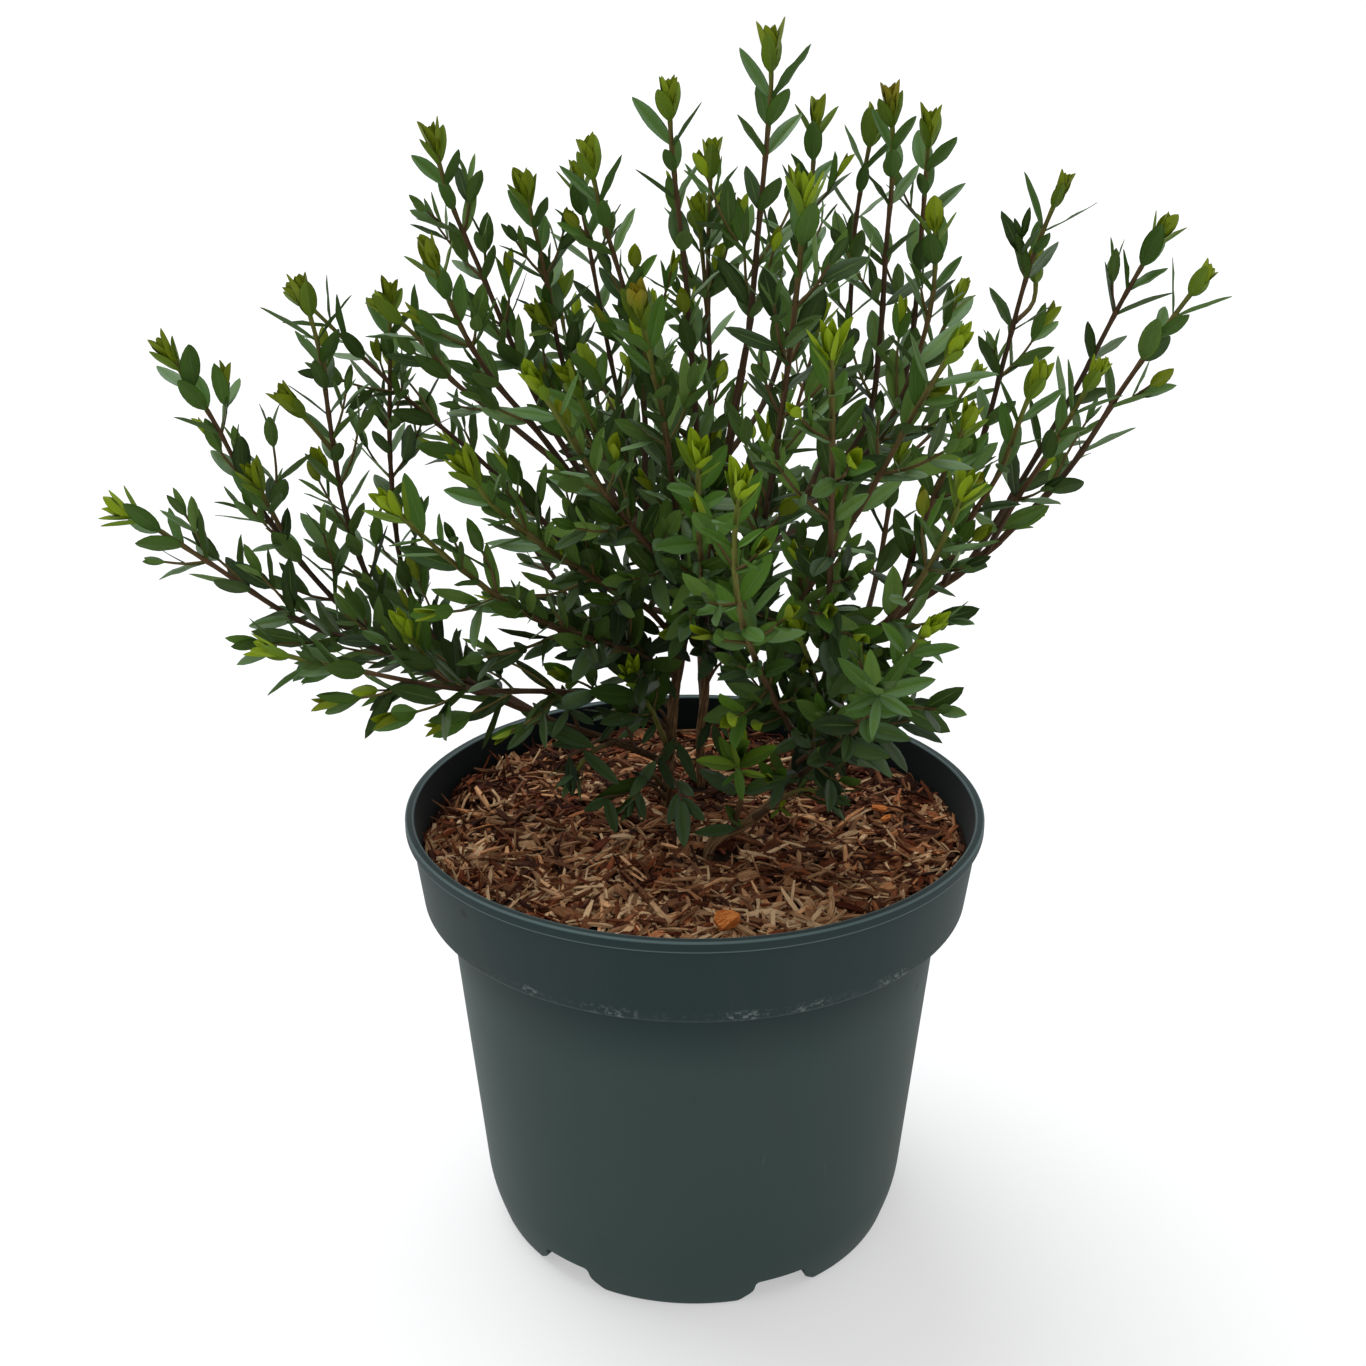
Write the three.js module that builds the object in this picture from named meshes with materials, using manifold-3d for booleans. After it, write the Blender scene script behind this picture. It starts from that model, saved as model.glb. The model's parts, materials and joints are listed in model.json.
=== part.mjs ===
// Potted tarentina myrtle: a young evergreen bush of leafy shoots on three woody stems, in bark mulch over
// soil, in a round nursery container on six feet. Millimetres, +Z up. The origin is the middle of the
// container's underside.
import * as THREE from "three";
import { mergeVertices } from "three/addons/utils/BufferGeometryUtils.js";
import Module from "manifold-3d";

const wasm = await Module();
wasm.setup();

// Clearance between neighbours that touch, and the turn from one repeat to the next that spreads them evenly
const GAP = 0.3;
const GOLDEN_TURN_DEG = 137.508;

// Container: lip, collar, shoulder, tapered body, feet
const POT_HEIGHT = 177;
const POT_WALL = 2;
const POT_SIDES = 36;
const LIP_RADIUS = 112.5;
const LIP_DEPTH = 4.5;
const LIP_WIDTH = 3.4;
const LIP_SLOPE = 0.3;
const COLLAR_TOP_RADIUS = 110.4;
const COLLAR_LOW_RADIUS = 106.8;
const COLLAR_LOW_Z = 143.3;
const SHOULDER_RADIUS = 97.5;
const SHOULDER_DROP = 1.2;
const SHOULDER_ROUND = 0.8;
const HEEL_RADIUS = 86.1;
const HEEL_Z = 14.7;
const FOOT_RADIUS = 81.4;
const FOOT_INNER_RADIUS = 58;
const HUB_RADIUS = 32;
const FOOT_COUNT = 6;
const FOOT_HEIGHT = 11.5;
const NOTCH_WIDTH = 17.5;
const NOTCH_CORNER = 4;
const NOTCH_OVERRUN = 8;
const FIRST_NOTCH_DEG = 25.25;
const FLOOR_Z = 14;

// Soil and bark mulch
const SOIL_TOP = 157;
const MULCH_EDGE_Z = 166.5;
const MULCH_MIDDLE_Z = 168.5;
const CHIP_COUNT = 44;
const CHIP_LENGTH = [15, 23];
const CHIP_WIDTH = [6, 8.5];
const CHIP_THICKNESS = 4;
const CHIP_SLANT = [0.2, 0.9];
const CHIP_PROUD = [1.26, 2.34];
const CHIP_TILT_DEG = 7;
const CHIP_TURN_DEG = 75;
const CHIP_EDGE_MARGIN = 9;
const CHIP_TOP_LIMIT = 173;

// Woody stems and shoots
const STEM_HOLE_Z = 147;
const SPUR_LENGTH = 8;
const LIMB_STEP = 22;
const LIMB_SIDES = 6;
const SHOOT_SIDES = 4;
const SHOOT_ROOT_RADIUS = 1.25;
const SHOOT_TIP_RADIUS = 0.75;
const SPRIG_ROOT_RADIUS = 0.95;
const BARE_LENGTH = 18;
const SPRIG_BARE_LENGTH = 14;

// Leaves
const LEAF_LENGTH = 19.5;
const LEAF_HALF_WIDTH = 0.18;
const LEAF_THICKNESS = 0.9;
const LEAF_FOLD = 0.055;
const LEAF_FOOT = 2.4;
const LEAF_OUTSET = 0.2;
const TIP_REACH = 11;
const TIP_PAIRS = [
  { back: 1.2, tilt: 13, size: 0.72 },
  { back: 5.5, tilt: 27, size: 0.86 },
];
const FIRST_PAIR_BACK = 12;
const PAIR_PITCH = 18.5;
const PAIR_TILT = 44;
const PAIR_TURN = 102;
const KEPT_PAIRS = 2;

// How far single leaves and pairs stray from the rule
const TURN_STRAY = [-14, 14];
const TILT_STRAY = [0.85, 1.15];
const SIZE_STRAY = [0.86, 1.12];
const LENGTH_STRAY = [0.92, 1.08];
const ROLL_STRAY = [-16, 16];

// Half a blade's outline as [share of length, share of half width, share of fold], and the places of its
// midrib's trough and of its keel
const BLADE_EDGE = [[0.34, 1, 1], [0.66, 0.86, 1.1]];
const BLADE_TIP_LIFT = 0.4;
const BLADE_TROUGH = [0.47, 0.3];
const BLADE_KEEL = [0.24, 0.1];

// Where leaves may be: the turns tried to clear a neighbour, the tested stations, and the clear height over
// the mulch
const CLEAR_TURNS = [0, 28, -28, 56, -56];
const CLEAR_STATIONS = [0.3, 0.55, 0.82];
const LEAF_FLOOR = 173.5;
const RIM_CLEAR_RADIUS = 98;

// The photo's camera. Its frame is square, and a picked pixel with a depth behind (+) or before (-) the
// container's axis gives a place.
const PHOTO_CENTRE = 683;
const PHOTO_FOCAL = 1700;
const PHOTO_CAMERA = new THREE.Vector3(-4.5, -606.4, 459.9);
const PHOTO_PITCH = THREE.MathUtils.degToRad(21.11);

// Three woody stems. foot is where each enters the soil, in mm. seen lists [pixel x, pixel y, depth].
const STEMS = [
  { name: "main", foot: [-11, 19], radius: [2.8, 1.9],
    seen: [[670, 745, 18], [675, 690, 14], [684, 635, 8], [688, 575, 2]] },
  { name: "second", foot: [3, 42], radius: [2.3, 1.7],
    seen: [[700, 745, 38], [705, 690, 34], [710, 620, 28], [718, 540, 18]] },
  { name: "low", foot: [3, -30], radius: [2.4, 1.7],
    seen: [[745, 824, -20], [778, 795, -2], [800, 750, 6], [822, 690, 2], [836, 640, -4]] },
];

// Woody limbs that fork from a stem or from an earlier limb.
const LIMBS = [
  { name: "west", on: "main", at: 0.3, radius: [1.9, 1.4],
    seen: [[610, 740, 4], [555, 722, 0], [505, 702, -4], [452, 684, -8]] },
  { name: "left", on: "main", at: 0.97, radius: [1.8, 1.4],
    seen: [[655, 545, 14], [600, 498, 20], [548, 455, 24]] },
  { name: "leader", on: "second", at: 0.98, radius: [1.7, 1.5],
    seen: [[724, 480, 8], [733, 420, 3], [742, 370, 1]] },
  { name: "right", on: "second", at: 0.7, radius: [1.7, 1.4],
    seen: [[745, 560, 34], [795, 505, 38], [845, 462, 40]] },
  { name: "east", on: "low", at: 0.9, radius: [1.8, 1.4],
    seen: [[870, 635, -4], [915, 603, -6], [961, 572, -8], [1000, 541, -10]] },
];

// Leafy shoots, from root to tip, and the small sprigs that grow on some of them.
const SHOOTS = [
  { on: "west", at: 0.99,
    seen: [[385, 652, -14], [300, 621, -20], [205, 560, -24], [132, 516, -24], [100, 510, -24]] },
  { on: "west", at: 0.82, seen: [[400, 656, 8], [330, 595, 6], [262, 510, 6], [210, 415, 8], [155, 335, 8]],
    sprigs: [{ at: 0.5, seen: [[268, 505, -6], [245, 462, -12]] }] },
  { on: "west", at: 0.74,
    seen: [[420, 650, 8], [375, 592, 16], [345, 510, 20], [331, 430, 22], [318, 345, 24], [298, 278, 24]],
    sprigs: [{ at: 0.66, seen: [[305, 418, 14], [278, 390, 10]] }] },
  { on: "west", at: 0.6,
    seen: [[450, 655, 34], [408, 589, 52], [391, 472, 60], [390, 370, 64], [390, 278, 66]] },
  { on: "west", at: 0.93, seen: [[440, 672, -18], [416, 645, -26], [398, 612, -30]] },
  { on: "main", at: 0.42,
    seen: [[625, 700, 0], [560, 692, -16], [459, 689, -36], [360, 671, -44], [285, 655, -48], [250, 642, -48]] },
  { on: "main", at: 0.62,
    seen: [[630, 650, -14], [558, 629, -44], [499, 597, -64], [430, 543, -80], [378, 492, -90]] },
  { on: "main", at: 0.74,
    seen: [[640, 602, -12], [594, 578, -34], [540, 544, -52], [490, 502, -64], [456, 452, -70]] },
  { on: "main", at: 0.84,
    seen: [[610, 590, 30], [540, 518, 46], [477, 457, 54], [402, 394, 58], [345, 340, 60], [285, 282, 60]] },
  { on: "left", at: 0.99, seen: [[500, 416, 32], [452, 380, 36], [425, 345, 38], [372, 298, 40]] },
  { on: "left", at: 0.86, seen: [[535, 428, 8], [490, 375, 0], [460, 325, -8], [425, 238, -12]] },
  { on: "left", at: 0.7,
    seen: [[545, 415, 38], [508, 335, 42], [478, 265, 42], [452, 205, 38], [428, 123, 34]] },
  { on: "left", at: 0.5, seen: [[590, 440, 46], [562, 360, 50], [543, 265, 46], [520, 168, 40]],
    sprigs: [{ at: 0.62, seen: [[552, 330, 36], [528, 300, 30]] }] },
  { on: "left", at: 0.3, seen: [[612, 470, -4], [590, 420, -20], [563, 366, -30]] },
  { on: "main", at: 0.92,
    seen: [[672, 570, -26], [640, 536, -50], [601, 487, -68], [560, 420, -84], [523, 364, -94]] },
  { on: "left", at: 0.24,
    seen: [[646, 500, 10], [645, 420, 18], [632, 320, 16], [605, 225, 12], [584, 138, 8]] },
  { on: "left", at: 0.12, seen: [[640, 480, 60], [615, 380, 80], [588, 240, 90], [574, 158, 92]] },
  { on: "main", at: 1,
    seen: [[680, 540, -26], [672, 475, -50], [658, 390, -66], [645, 335, -74], [636, 284, -78]] },
  { on: "second", at: 0.9,
    seen: [[700, 470, 22], [692, 360, 18], [684, 260, 14], [672, 150, 8], [668, 76, 6]] },
  { on: "second", at: 0.8, seen: [[714, 500, 62], [710, 380, 72], [708, 260, 76], [712, 140, 76]],
    sprigs: [{ at: 0.6, seen: [[702, 250, 66], [696, 196, 60]] }] },
  { on: "leader", at: 1,
    seen: [[749, 330, 0], [758, 235, -2], [766, 150, -4], [771, 90, -4], [770, 26, -4]] },
  { on: "leader", at: 0.55, seen: [[765, 400, 34], [790, 320, 52], [807, 230, 60], [818, 98, 64]] },
  { on: "right", at: 0.98,
    seen: [[868, 420, 36], [880, 340, 30], [886, 250, 24], [893, 160, 20], [890, 84, 18]] },
  { on: "right", at: 0.78, seen: [[832, 430, 62], [848, 330, 72], [856, 220, 76], [877, 108, 78]] },
  { on: "right", at: 0.91, seen: [[886, 434, 52], [910, 350, 62], [920, 250, 60], [931, 108, 56]] },
  { on: "right", at: 0.85, seen: [[870, 450, 14], [905, 390, -4], [932, 300, -14], [936, 198, -20]] },
  { on: "right", at: 0.64, seen: [[846, 480, 82], [912, 390, 98], [968, 276, 106]] },
  { on: "second", at: 0.55,
    seen: [[745, 600, -24], [768, 500, -64], [782, 410, -84], [796, 300, -94], [808, 166, -98]] },
  { on: "second", at: 0.62, seen: [[702, 570, -60], [698, 510, -106], [700, 440, -126]] },
  { on: "low", at: 0.62, seen: [[760, 670, -80], [738, 600, -136], [735, 530, -156], [745, 466, -168]] },
  { on: "east", at: 1, seen: [[1065, 474, -14], [1127, 382, -18], [1180, 308, -16], [1218, 260, -14]] },
  { on: "east", at: 0.8, seen: [[1016, 490, 14], [1075, 390, 20], [1128, 290, 22], [1176, 210, 24]] },
  { on: "east", at: 0.92, seen: [[1016, 500, -34], [1053, 446, -42], [1107, 353, -48]] },
  { on: "east", at: 0.68, seen: [[970, 520, -44], [1000, 471, -54], [1024, 409, -60], [1046, 358, -62]] },
  { on: "east", at: 0.55,
    seen: [[950, 520, 16], [985, 430, 24], [1004, 360, 26], [1032, 260, 24], [1070, 168, 22]],
    sprigs: [{ at: 0.66, seen: [[1034, 300, 34], [1033, 243, 38]] }] },
  { on: "east", at: 0.4, seen: [[925, 520, -50], [952, 455, -66], [976, 398, -72]] },
  { on: "low", at: 0.97, seen: [[862, 640, -50], [908, 598, -96], [947, 533, -116], [974, 468, -124]] },
  { on: "low", at: 0.8,
    seen: [[800, 610, -58], [838, 545, -84], [880, 475, -104], [922, 400, -120], [971, 322, -130]] },
  { on: "low", at: 0.88, seen: [[830, 580, -90], [832, 480, -124], [832, 400, -144], [830, 322, -154]] },
  { on: "low", at: 0.56, seen: [[850, 725, -60], [884, 690, -104], [915, 645, -128], [946, 614, -136]] },
  { on: "low", at: 0.48, seen: [[838, 745, -60], [866, 718, -108], [880, 692, -146]] },
  { on: "low", at: 0.7, seen: [[812, 668, -44], [800, 640, -58], [788, 612, -64]] },
  { on: "low", at: 0.24, seen: [[742, 790, -44], [737, 764, -56], [738, 722, -62]] },
  { on: "east", at: 0.2, seen: [[880, 560, 30], [892, 490, 44], [905, 430, 50]] },
  { on: "second", at: 0.72, seen: [[745, 540, -6], [768, 480, -14], [776, 415, -18]] },
  { on: "west", at: 0.3, seen: [[592, 752, -10], [575, 772, -18], [563, 796, -24]] },
  { on: "main", at: 0.2, seen: [[648, 775, 2], [634, 800, -8], [622, 826, -16]] },
  { on: "main", at: 0.34, seen: [[650, 708, -6], [636, 690, -20], [628, 660, -28]] },
  { on: "low", at: 0.3, seen: [[800, 790, -14], [825, 795, -20], [848, 812, -24]] },
  { on: "main", at: 0.5, seen: [[600, 640, 60], [500, 500, 110], [420, 400, 130]] },
  { on: "left", at: 0.4, seen: [[596, 440, 90], [566, 340, 140], [556, 268, 152]] },
  { on: "second", at: 0.4, seen: [[690, 520, 130], [660, 380, 180], [650, 290, 190]] },
  { on: "second", at: 0.5, seen: [[760, 520, 130], [805, 380, 170], [826, 300, 180]] },
  { on: "right", at: 0.4, seen: [[850, 500, 110], [935, 430, 140], [985, 360, 150]] },
];

// Colours, roughness and metalness
const FINISH = {
  pot: { color: 0x344442, roughness: 0.55, metalness: 0 },
  soil: { color: 0x2b1d14, roughness: 1, metalness: 0 },
  mulch: { color: 0x6b4630, roughness: 0.95, metalness: 0 },
  wood: { color: 0x4f3527, roughness: 0.85, metalness: 0 },
  leaf: { color: 0x35522a, roughness: 0.45, metalness: 0 },
};

// A repeatable draw between 0 and 1 for item a, quality b.
function draw(a, b) {
  const wave = Math.sin(a * 12.9898 + b * 78.233) * 43758.5453;
  return wave - Math.floor(wave);
}

// A draw between low and high.
function drawBetween(low, high, a, b) {
  return low + (high - low) * draw(a, b);
}

// The place, in mm, of a picked pixel at a depth.
function placeOf([pixelX, pixelY, depth]) {
  const across = (pixelX - PHOTO_CENTRE) / PHOTO_FOCAL;
  const rise = (PHOTO_CENTRE - pixelY) / PHOTO_FOCAL;
  const ray = new THREE.Vector3(
    across,
    Math.cos(PHOTO_PITCH) + rise * Math.sin(PHOTO_PITCH),
    rise * Math.cos(PHOTO_PITCH) - Math.sin(PHOTO_PITCH),
  );
  return ray.multiplyScalar((depth - PHOTO_CAMERA.y) / ray.y).add(PHOTO_CAMERA);
}

// A closed geometry as a solid.
function solidOf(geometry) {
  const bare = new THREE.BufferGeometry();
  bare.setAttribute("position", geometry.getAttribute("position"));
  bare.setIndex(geometry.getIndex());
  const merged = mergeVertices(bare, 1e-4);
  return new wasm.Manifold(
    new wasm.Mesh({
      numProp: 3,
      vertProperties: new Float32Array(merged.attributes.position.array),
      triVerts: new Uint32Array(merged.index.array),
    }),
  );
}

// A solid as a geometry with flat faces.
function geometryOf(solid) {
  const mesh = solid.simplify(0.004).getMesh();
  const geometry = new THREE.BufferGeometry();
  geometry.setAttribute("position", new THREE.BufferAttribute(new Float32Array(mesh.vertProperties), 3));
  geometry.setIndex(new THREE.BufferAttribute(new Uint32Array(mesh.triVerts), 1));
  const faceted = geometry.toNonIndexed();
  faceted.computeVertexNormals();
  return faceted;
}

// A closed solid from corner points and triangles.
function solidFromFaces(points, faces) {
  const geometry = new THREE.BufferGeometry();
  const flat = points.flatMap((point) => point.toArray());
  geometry.setAttribute("position", new THREE.BufferAttribute(new Float32Array(flat), 3));
  geometry.setIndex(faces.flat());
  const solid = solidOf(geometry);
  return solid.volume() > 0 ? solid : solidFromFaces(points, faces.map(([a, b, c]) => [a, c, b]));
}

// Turns a profile of [radius, height] pairs round the Z axis.
function turned(profile, sides) {
  const outline = profile.map(([radius, z]) => new THREE.Vector2(radius, z));
  return solidOf(new THREE.LatheGeometry(outline, sides).rotateX(Math.PI / 2));
}

// The direction, side and back axes of a curve at an arc fraction.
function frameAt(curve, fraction) {
  const along = curve.getTangentAt(fraction);
  const side = new THREE.Vector3(-along.z, 0, along.x).normalize();
  return { point: curve.getPointAt(fraction), along, side, back: side.clone().cross(along) };
}

// The corners of a stem's cross-section at an arc length, with its first face turned by a twist.
function ringCorners(route, s, sides, twist) {
  const { point, side, back } = frameAt(route.curve, Math.min(1, s / route.curve.getLength()));
  const corners = [];
  for (let corner = 0; corner < sides; corner++) {
    const angle = THREE.MathUtils.degToRad(twist) + (2 * Math.PI * (corner + 0.5)) / sides;
    const spoke = side.clone().multiplyScalar(Math.cos(angle)).addScaledVector(back, Math.sin(angle));
    corners.push(point.clone().addScaledVector(spoke, route.radiusAt(s)));
  }
  return corners;
}

// The flat ends that close a tube of rings.
function endFaces(sides, rings) {
  const last = (rings - 1) * sides;
  const faces = [];
  for (let corner = 1; corner < sides - 1; corner++) {
    faces.push([0, corner, corner + 1], [last, last + corner + 1, last + corner]);
  }
  return faces;
}

// A tapering tube along a route, between two arc lengths, with closed ends.
function taperedTube(route, from, to, sides, step, twist = 0) {
  const count = Math.max(1, Math.round((to - from) / step));
  const points = [];
  for (let ring = 0; ring <= count; ring++) {
    points.push(...ringCorners(route, from + ((to - from) * ring) / count, sides, twist));
  }
  const faces = endFaces(sides, count + 1);
  for (let ring = 0; ring < count; ring++) {
    for (let corner = 0; corner < sides; corner++) {
      const a = ring * sides + corner;
      const b = ring * sides + ((corner + 1) % sides);
      faces.push([a, a + sides, b + sides], [a, b + sides, b]);
    }
  }
  return solidFromFaces(points, faces);
}

// The container's wall as a closed profile, from the hub out, up, over the lip and down the inside.
function potProfile() {
  const collarInside = COLLAR_LOW_RADIUS - POT_WALL;
  const lipInside = LIP_RADIUS - LIP_WIDTH;
  return [
    [0, 0],
    [HUB_RADIUS, 0],
    [HUB_RADIUS, FOOT_HEIGHT],
    [FOOT_INNER_RADIUS, FOOT_HEIGHT],
    [FOOT_INNER_RADIUS, 0],
    [FOOT_RADIUS, 0],
    [HEEL_RADIUS, HEEL_Z],
    [SHOULDER_RADIUS, COLLAR_LOW_Z - SHOULDER_DROP],
    [COLLAR_LOW_RADIUS - SHOULDER_ROUND, COLLAR_LOW_Z - SHOULDER_DROP],
    [COLLAR_LOW_RADIUS, COLLAR_LOW_Z],
    [COLLAR_TOP_RADIUS, POT_HEIGHT - LIP_DEPTH],
    [LIP_RADIUS, POT_HEIGHT - LIP_DEPTH + LIP_SLOPE],
    [LIP_RADIUS, POT_HEIGHT],
    [lipInside, POT_HEIGHT],
    [COLLAR_TOP_RADIUS - POT_WALL, POT_HEIGHT - LIP_DEPTH],
    [collarInside, COLLAR_LOW_Z + POT_WALL],
    [SHOULDER_RADIUS - POT_WALL, COLLAR_LOW_Z - SHOULDER_DROP],
    [HEEL_RADIUS - POT_WALL, FLOOR_Z],
    [0, FLOOR_Z],
  ];
}

// One notch between two feet, as a cutter that runs outward from the ring behind the feet.
function notchCutter(angleDeg) {
  const half = NOTCH_WIDTH / 2;
  const cut = 0.3 * NOTCH_CORNER;
  const arch = new THREE.Shape();
  arch.moveTo(-half, -NOTCH_OVERRUN);
  arch.lineTo(half, -NOTCH_OVERRUN);
  arch.lineTo(half, FOOT_HEIGHT - NOTCH_CORNER);
  arch.lineTo(half - cut, FOOT_HEIGHT - cut);
  arch.lineTo(half - NOTCH_CORNER, FOOT_HEIGHT);
  arch.lineTo(-half + NOTCH_CORNER, FOOT_HEIGHT);
  arch.lineTo(-half + cut, FOOT_HEIGHT - cut);
  arch.lineTo(-half, FOOT_HEIGHT - NOTCH_CORNER);
  const start = FOOT_INNER_RADIUS - NOTCH_OVERRUN;
  const cutter = new THREE.ExtrudeGeometry(arch, { depth: LIP_RADIUS - start, bevelEnabled: false });
  cutter.translate(0, 0, start).rotateX(Math.PI / 2).rotateZ(THREE.MathUtils.degToRad(angleDeg));
  return solidOf(cutter);
}

function potSolid() {
  let pot = turned(potProfile(), POT_SIDES);
  for (let notch = 0; notch < FOOT_COUNT; notch++) {
    pot = pot.subtract(notchCutter(FIRST_NOTCH_DEG + (360 / FOOT_COUNT) * notch));
  }
  return pot;
}

// The container's inner radius at a height above its shoulder.
function collarInnerRadius(z) {
  const low = [COLLAR_LOW_RADIUS - POT_WALL, COLLAR_LOW_Z + POT_WALL];
  const high = [COLLAR_TOP_RADIUS - POT_WALL, POT_HEIGHT - LIP_DEPTH];
  return low[0] + ((high[0] - low[0]) * (z - low[1])) / (high[1] - low[1]);
}

function soilSolid(holes) {
  const ease = GAP + 0.1;
  const shoulderZ = COLLAR_LOW_Z - SHOULDER_DROP;
  const soil = turned(
    [
      [0, FLOOR_Z + GAP],
      [HEEL_RADIUS - POT_WALL - ease, FLOOR_Z + GAP],
      [SHOULDER_RADIUS - POT_WALL - ease, shoulderZ + ease],
      [COLLAR_LOW_RADIUS - POT_WALL - ease, COLLAR_LOW_Z + POT_WALL + ease],
      [collarInnerRadius(SOIL_TOP) - ease, SOIL_TOP],
      [0, SOIL_TOP],
    ],
    POT_SIDES,
  );
  return holes.reduce((left, hole) => left.subtract(hole), soil);
}

// The height of the mulch at a radius.
function mulchHeight(radius) {
  const share = Math.min(1, radius / LIP_RADIUS);
  return MULCH_MIDDLE_Z + (MULCH_EDGE_Z - MULCH_MIDDLE_Z) * share * share;
}

// One bark chip: a flat splinter with a slanting end, lying at its own angle on the mulch.
function barkChip(index) {
  const length = drawBetween(...CHIP_LENGTH, index, 1);
  const width = drawBetween(...CHIP_WIDTH, index, 2);
  const slant = drawBetween(...CHIP_SLANT, index, 3) * width;
  const outline = new THREE.Shape();
  outline.moveTo(-length / 2, -width / 2);
  outline.lineTo(length / 2 - slant, -width / 2);
  outline.lineTo(length / 2, 0.2 * width);
  outline.lineTo(-length / 2 + slant, width / 2);
  const chip = new THREE.ExtrudeGeometry(outline, { depth: CHIP_THICKNESS, bevelEnabled: false });
  const spread = Math.sqrt((index + 0.5) / CHIP_COUNT);
  const radius = (COLLAR_LOW_RADIUS - CHIP_EDGE_MARGIN) * spread;
  const around = THREE.MathUtils.degToRad(GOLDEN_TURN_DEG * index);
  const tilt = THREE.MathUtils.degToRad(drawBetween(-CHIP_TILT_DEG, CHIP_TILT_DEG, index, 4));
  const stray = THREE.MathUtils.degToRad(drawBetween(-CHIP_TURN_DEG, CHIP_TURN_DEG, index, 5));
  const turn = around + Math.PI / 2 + stray;
  const lift = mulchHeight(radius) + drawBetween(...CHIP_PROUD, index, 6) - CHIP_THICKNESS;
  chip.rotateX(tilt).rotateY(tilt).rotateZ(turn);
  chip.translate(radius * Math.cos(around), radius * Math.sin(around), lift);
  return solidOf(chip);
}

// The bark mulch: a low dome with larger-than-life chips standing out of it, kept inside the container's
// wall.
function mulchSolid(holes) {
  const floor = SOIL_TOP + GAP;
  const ease = GAP + 0.1;
  const bed = turned(
    [
      [0, floor],
      [collarInnerRadius(floor) - ease, floor],
      [collarInnerRadius(MULCH_EDGE_Z) - ease, MULCH_EDGE_Z],
      [0.5 * LIP_RADIUS, mulchHeight(0.5 * LIP_RADIUS)],
      [0, MULCH_MIDDLE_Z],
    ],
    POT_SIDES,
  );
  const envelope = turned(
    [
      [0, floor],
      [collarInnerRadius(floor) - ease, floor],
      [collarInnerRadius(CHIP_TOP_LIMIT) - 2 * ease, CHIP_TOP_LIMIT],
      [0, CHIP_TOP_LIMIT],
    ],
    POT_SIDES,
  );
  const chips = Array.from({ length: CHIP_COUNT }, (unused, index) => barkChip(index));
  const heaped = wasm.Manifold.union([bed, ...chips]).intersect(envelope);
  return holes.reduce((left, hole) => left.subtract(hole), heaped);
}

// A wood or shoot route: its curve, its length and its radius at an arc length.
function routeOf(points, rootRadius, tipRadius, reach = 0) {
  const curve = new THREE.CatmullRomCurve3(points);
  const length = curve.getLength() - reach;
  const radiusAt = (s) => rootRadius + (tipRadius - rootRadius) * Math.min(1, Math.max(0, s / length));
  return { curve, length, radiusAt };
}

// Routes of the woody stems and limbs, by name, with the stem that each belongs to.
function woodRoutes() {
  const routes = new Map();
  for (const { name, foot, radius, seen } of STEMS) {
    const buried = new THREE.Vector3(foot[0], foot[1], STEM_HOLE_Z);
    const collar = new THREE.Vector3(foot[0], foot[1], MULCH_MIDDLE_Z);
    routes.set(name, { stem: name, ...routeOf([buried, collar, ...seen.map(placeOf)], ...radius) });
  }
  for (const { name, on, at, radius, seen } of LIMBS) {
    const parent = routes.get(on);
    const root = parent.curve.getPointAt(at);
    routes.set(name, { stem: parent.stem, ...routeOf([root, ...seen.map(placeOf)], ...radius) });
  }
  return routes;
}

// Routes of the leafy shoots and of their sprigs.
function shootRoutes(wood) {
  return SHOOTS.map(({ on, at, seen, sprigs = [] }, index) => {
    const root = wood.get(on).curve.getPointAt(at);
    const points = [root, ...seen.map(placeOf)];
    const shoot = routeOf(points, SHOOT_ROOT_RADIUS, SHOOT_TIP_RADIUS, TIP_REACH);
    const twist = 360 * draw(index, 7);
    const side = sprigs.map((sprig) => {
      const joint = shoot.curve.getPointAt(sprig.at);
      const way = [joint, ...sprig.seen.map(placeOf)];
      return { twist, ...routeOf(way, SPRIG_ROOT_RADIUS, SHOOT_TIP_RADIUS, TIP_REACH) };
    });
    return { name: `shoot_${String(index + 1).padStart(2, "0")}`, on, twist, ...shoot, side };
  });
}

// A leaf's place: where it starts on its stem, and its own length, width and upward axes.
function leafPose(route, s, turnDeg, tiltDeg, rollDeg, length) {
  const { point, along, side, back } = frameAt(route.curve, s / route.curve.getLength());
  const turn = THREE.MathUtils.degToRad(turnDeg);
  const tilt = THREE.MathUtils.degToRad(tiltDeg);
  const outward = side.clone().multiplyScalar(Math.cos(turn)).addScaledVector(back, Math.sin(turn));
  const axis = along.clone().multiplyScalar(Math.cos(tilt)).addScaledVector(outward, Math.sin(tilt));
  const face = along.clone().multiplyScalar(Math.sin(tilt)).addScaledVector(outward, -Math.cos(tilt));
  face.applyAxisAngle(axis, THREE.MathUtils.degToRad(rollDeg));
  const across = axis.clone().cross(face);
  return { base: point.clone().addScaledVector(outward, LEAF_OUTSET), axis, across, face, length };
}

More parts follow.
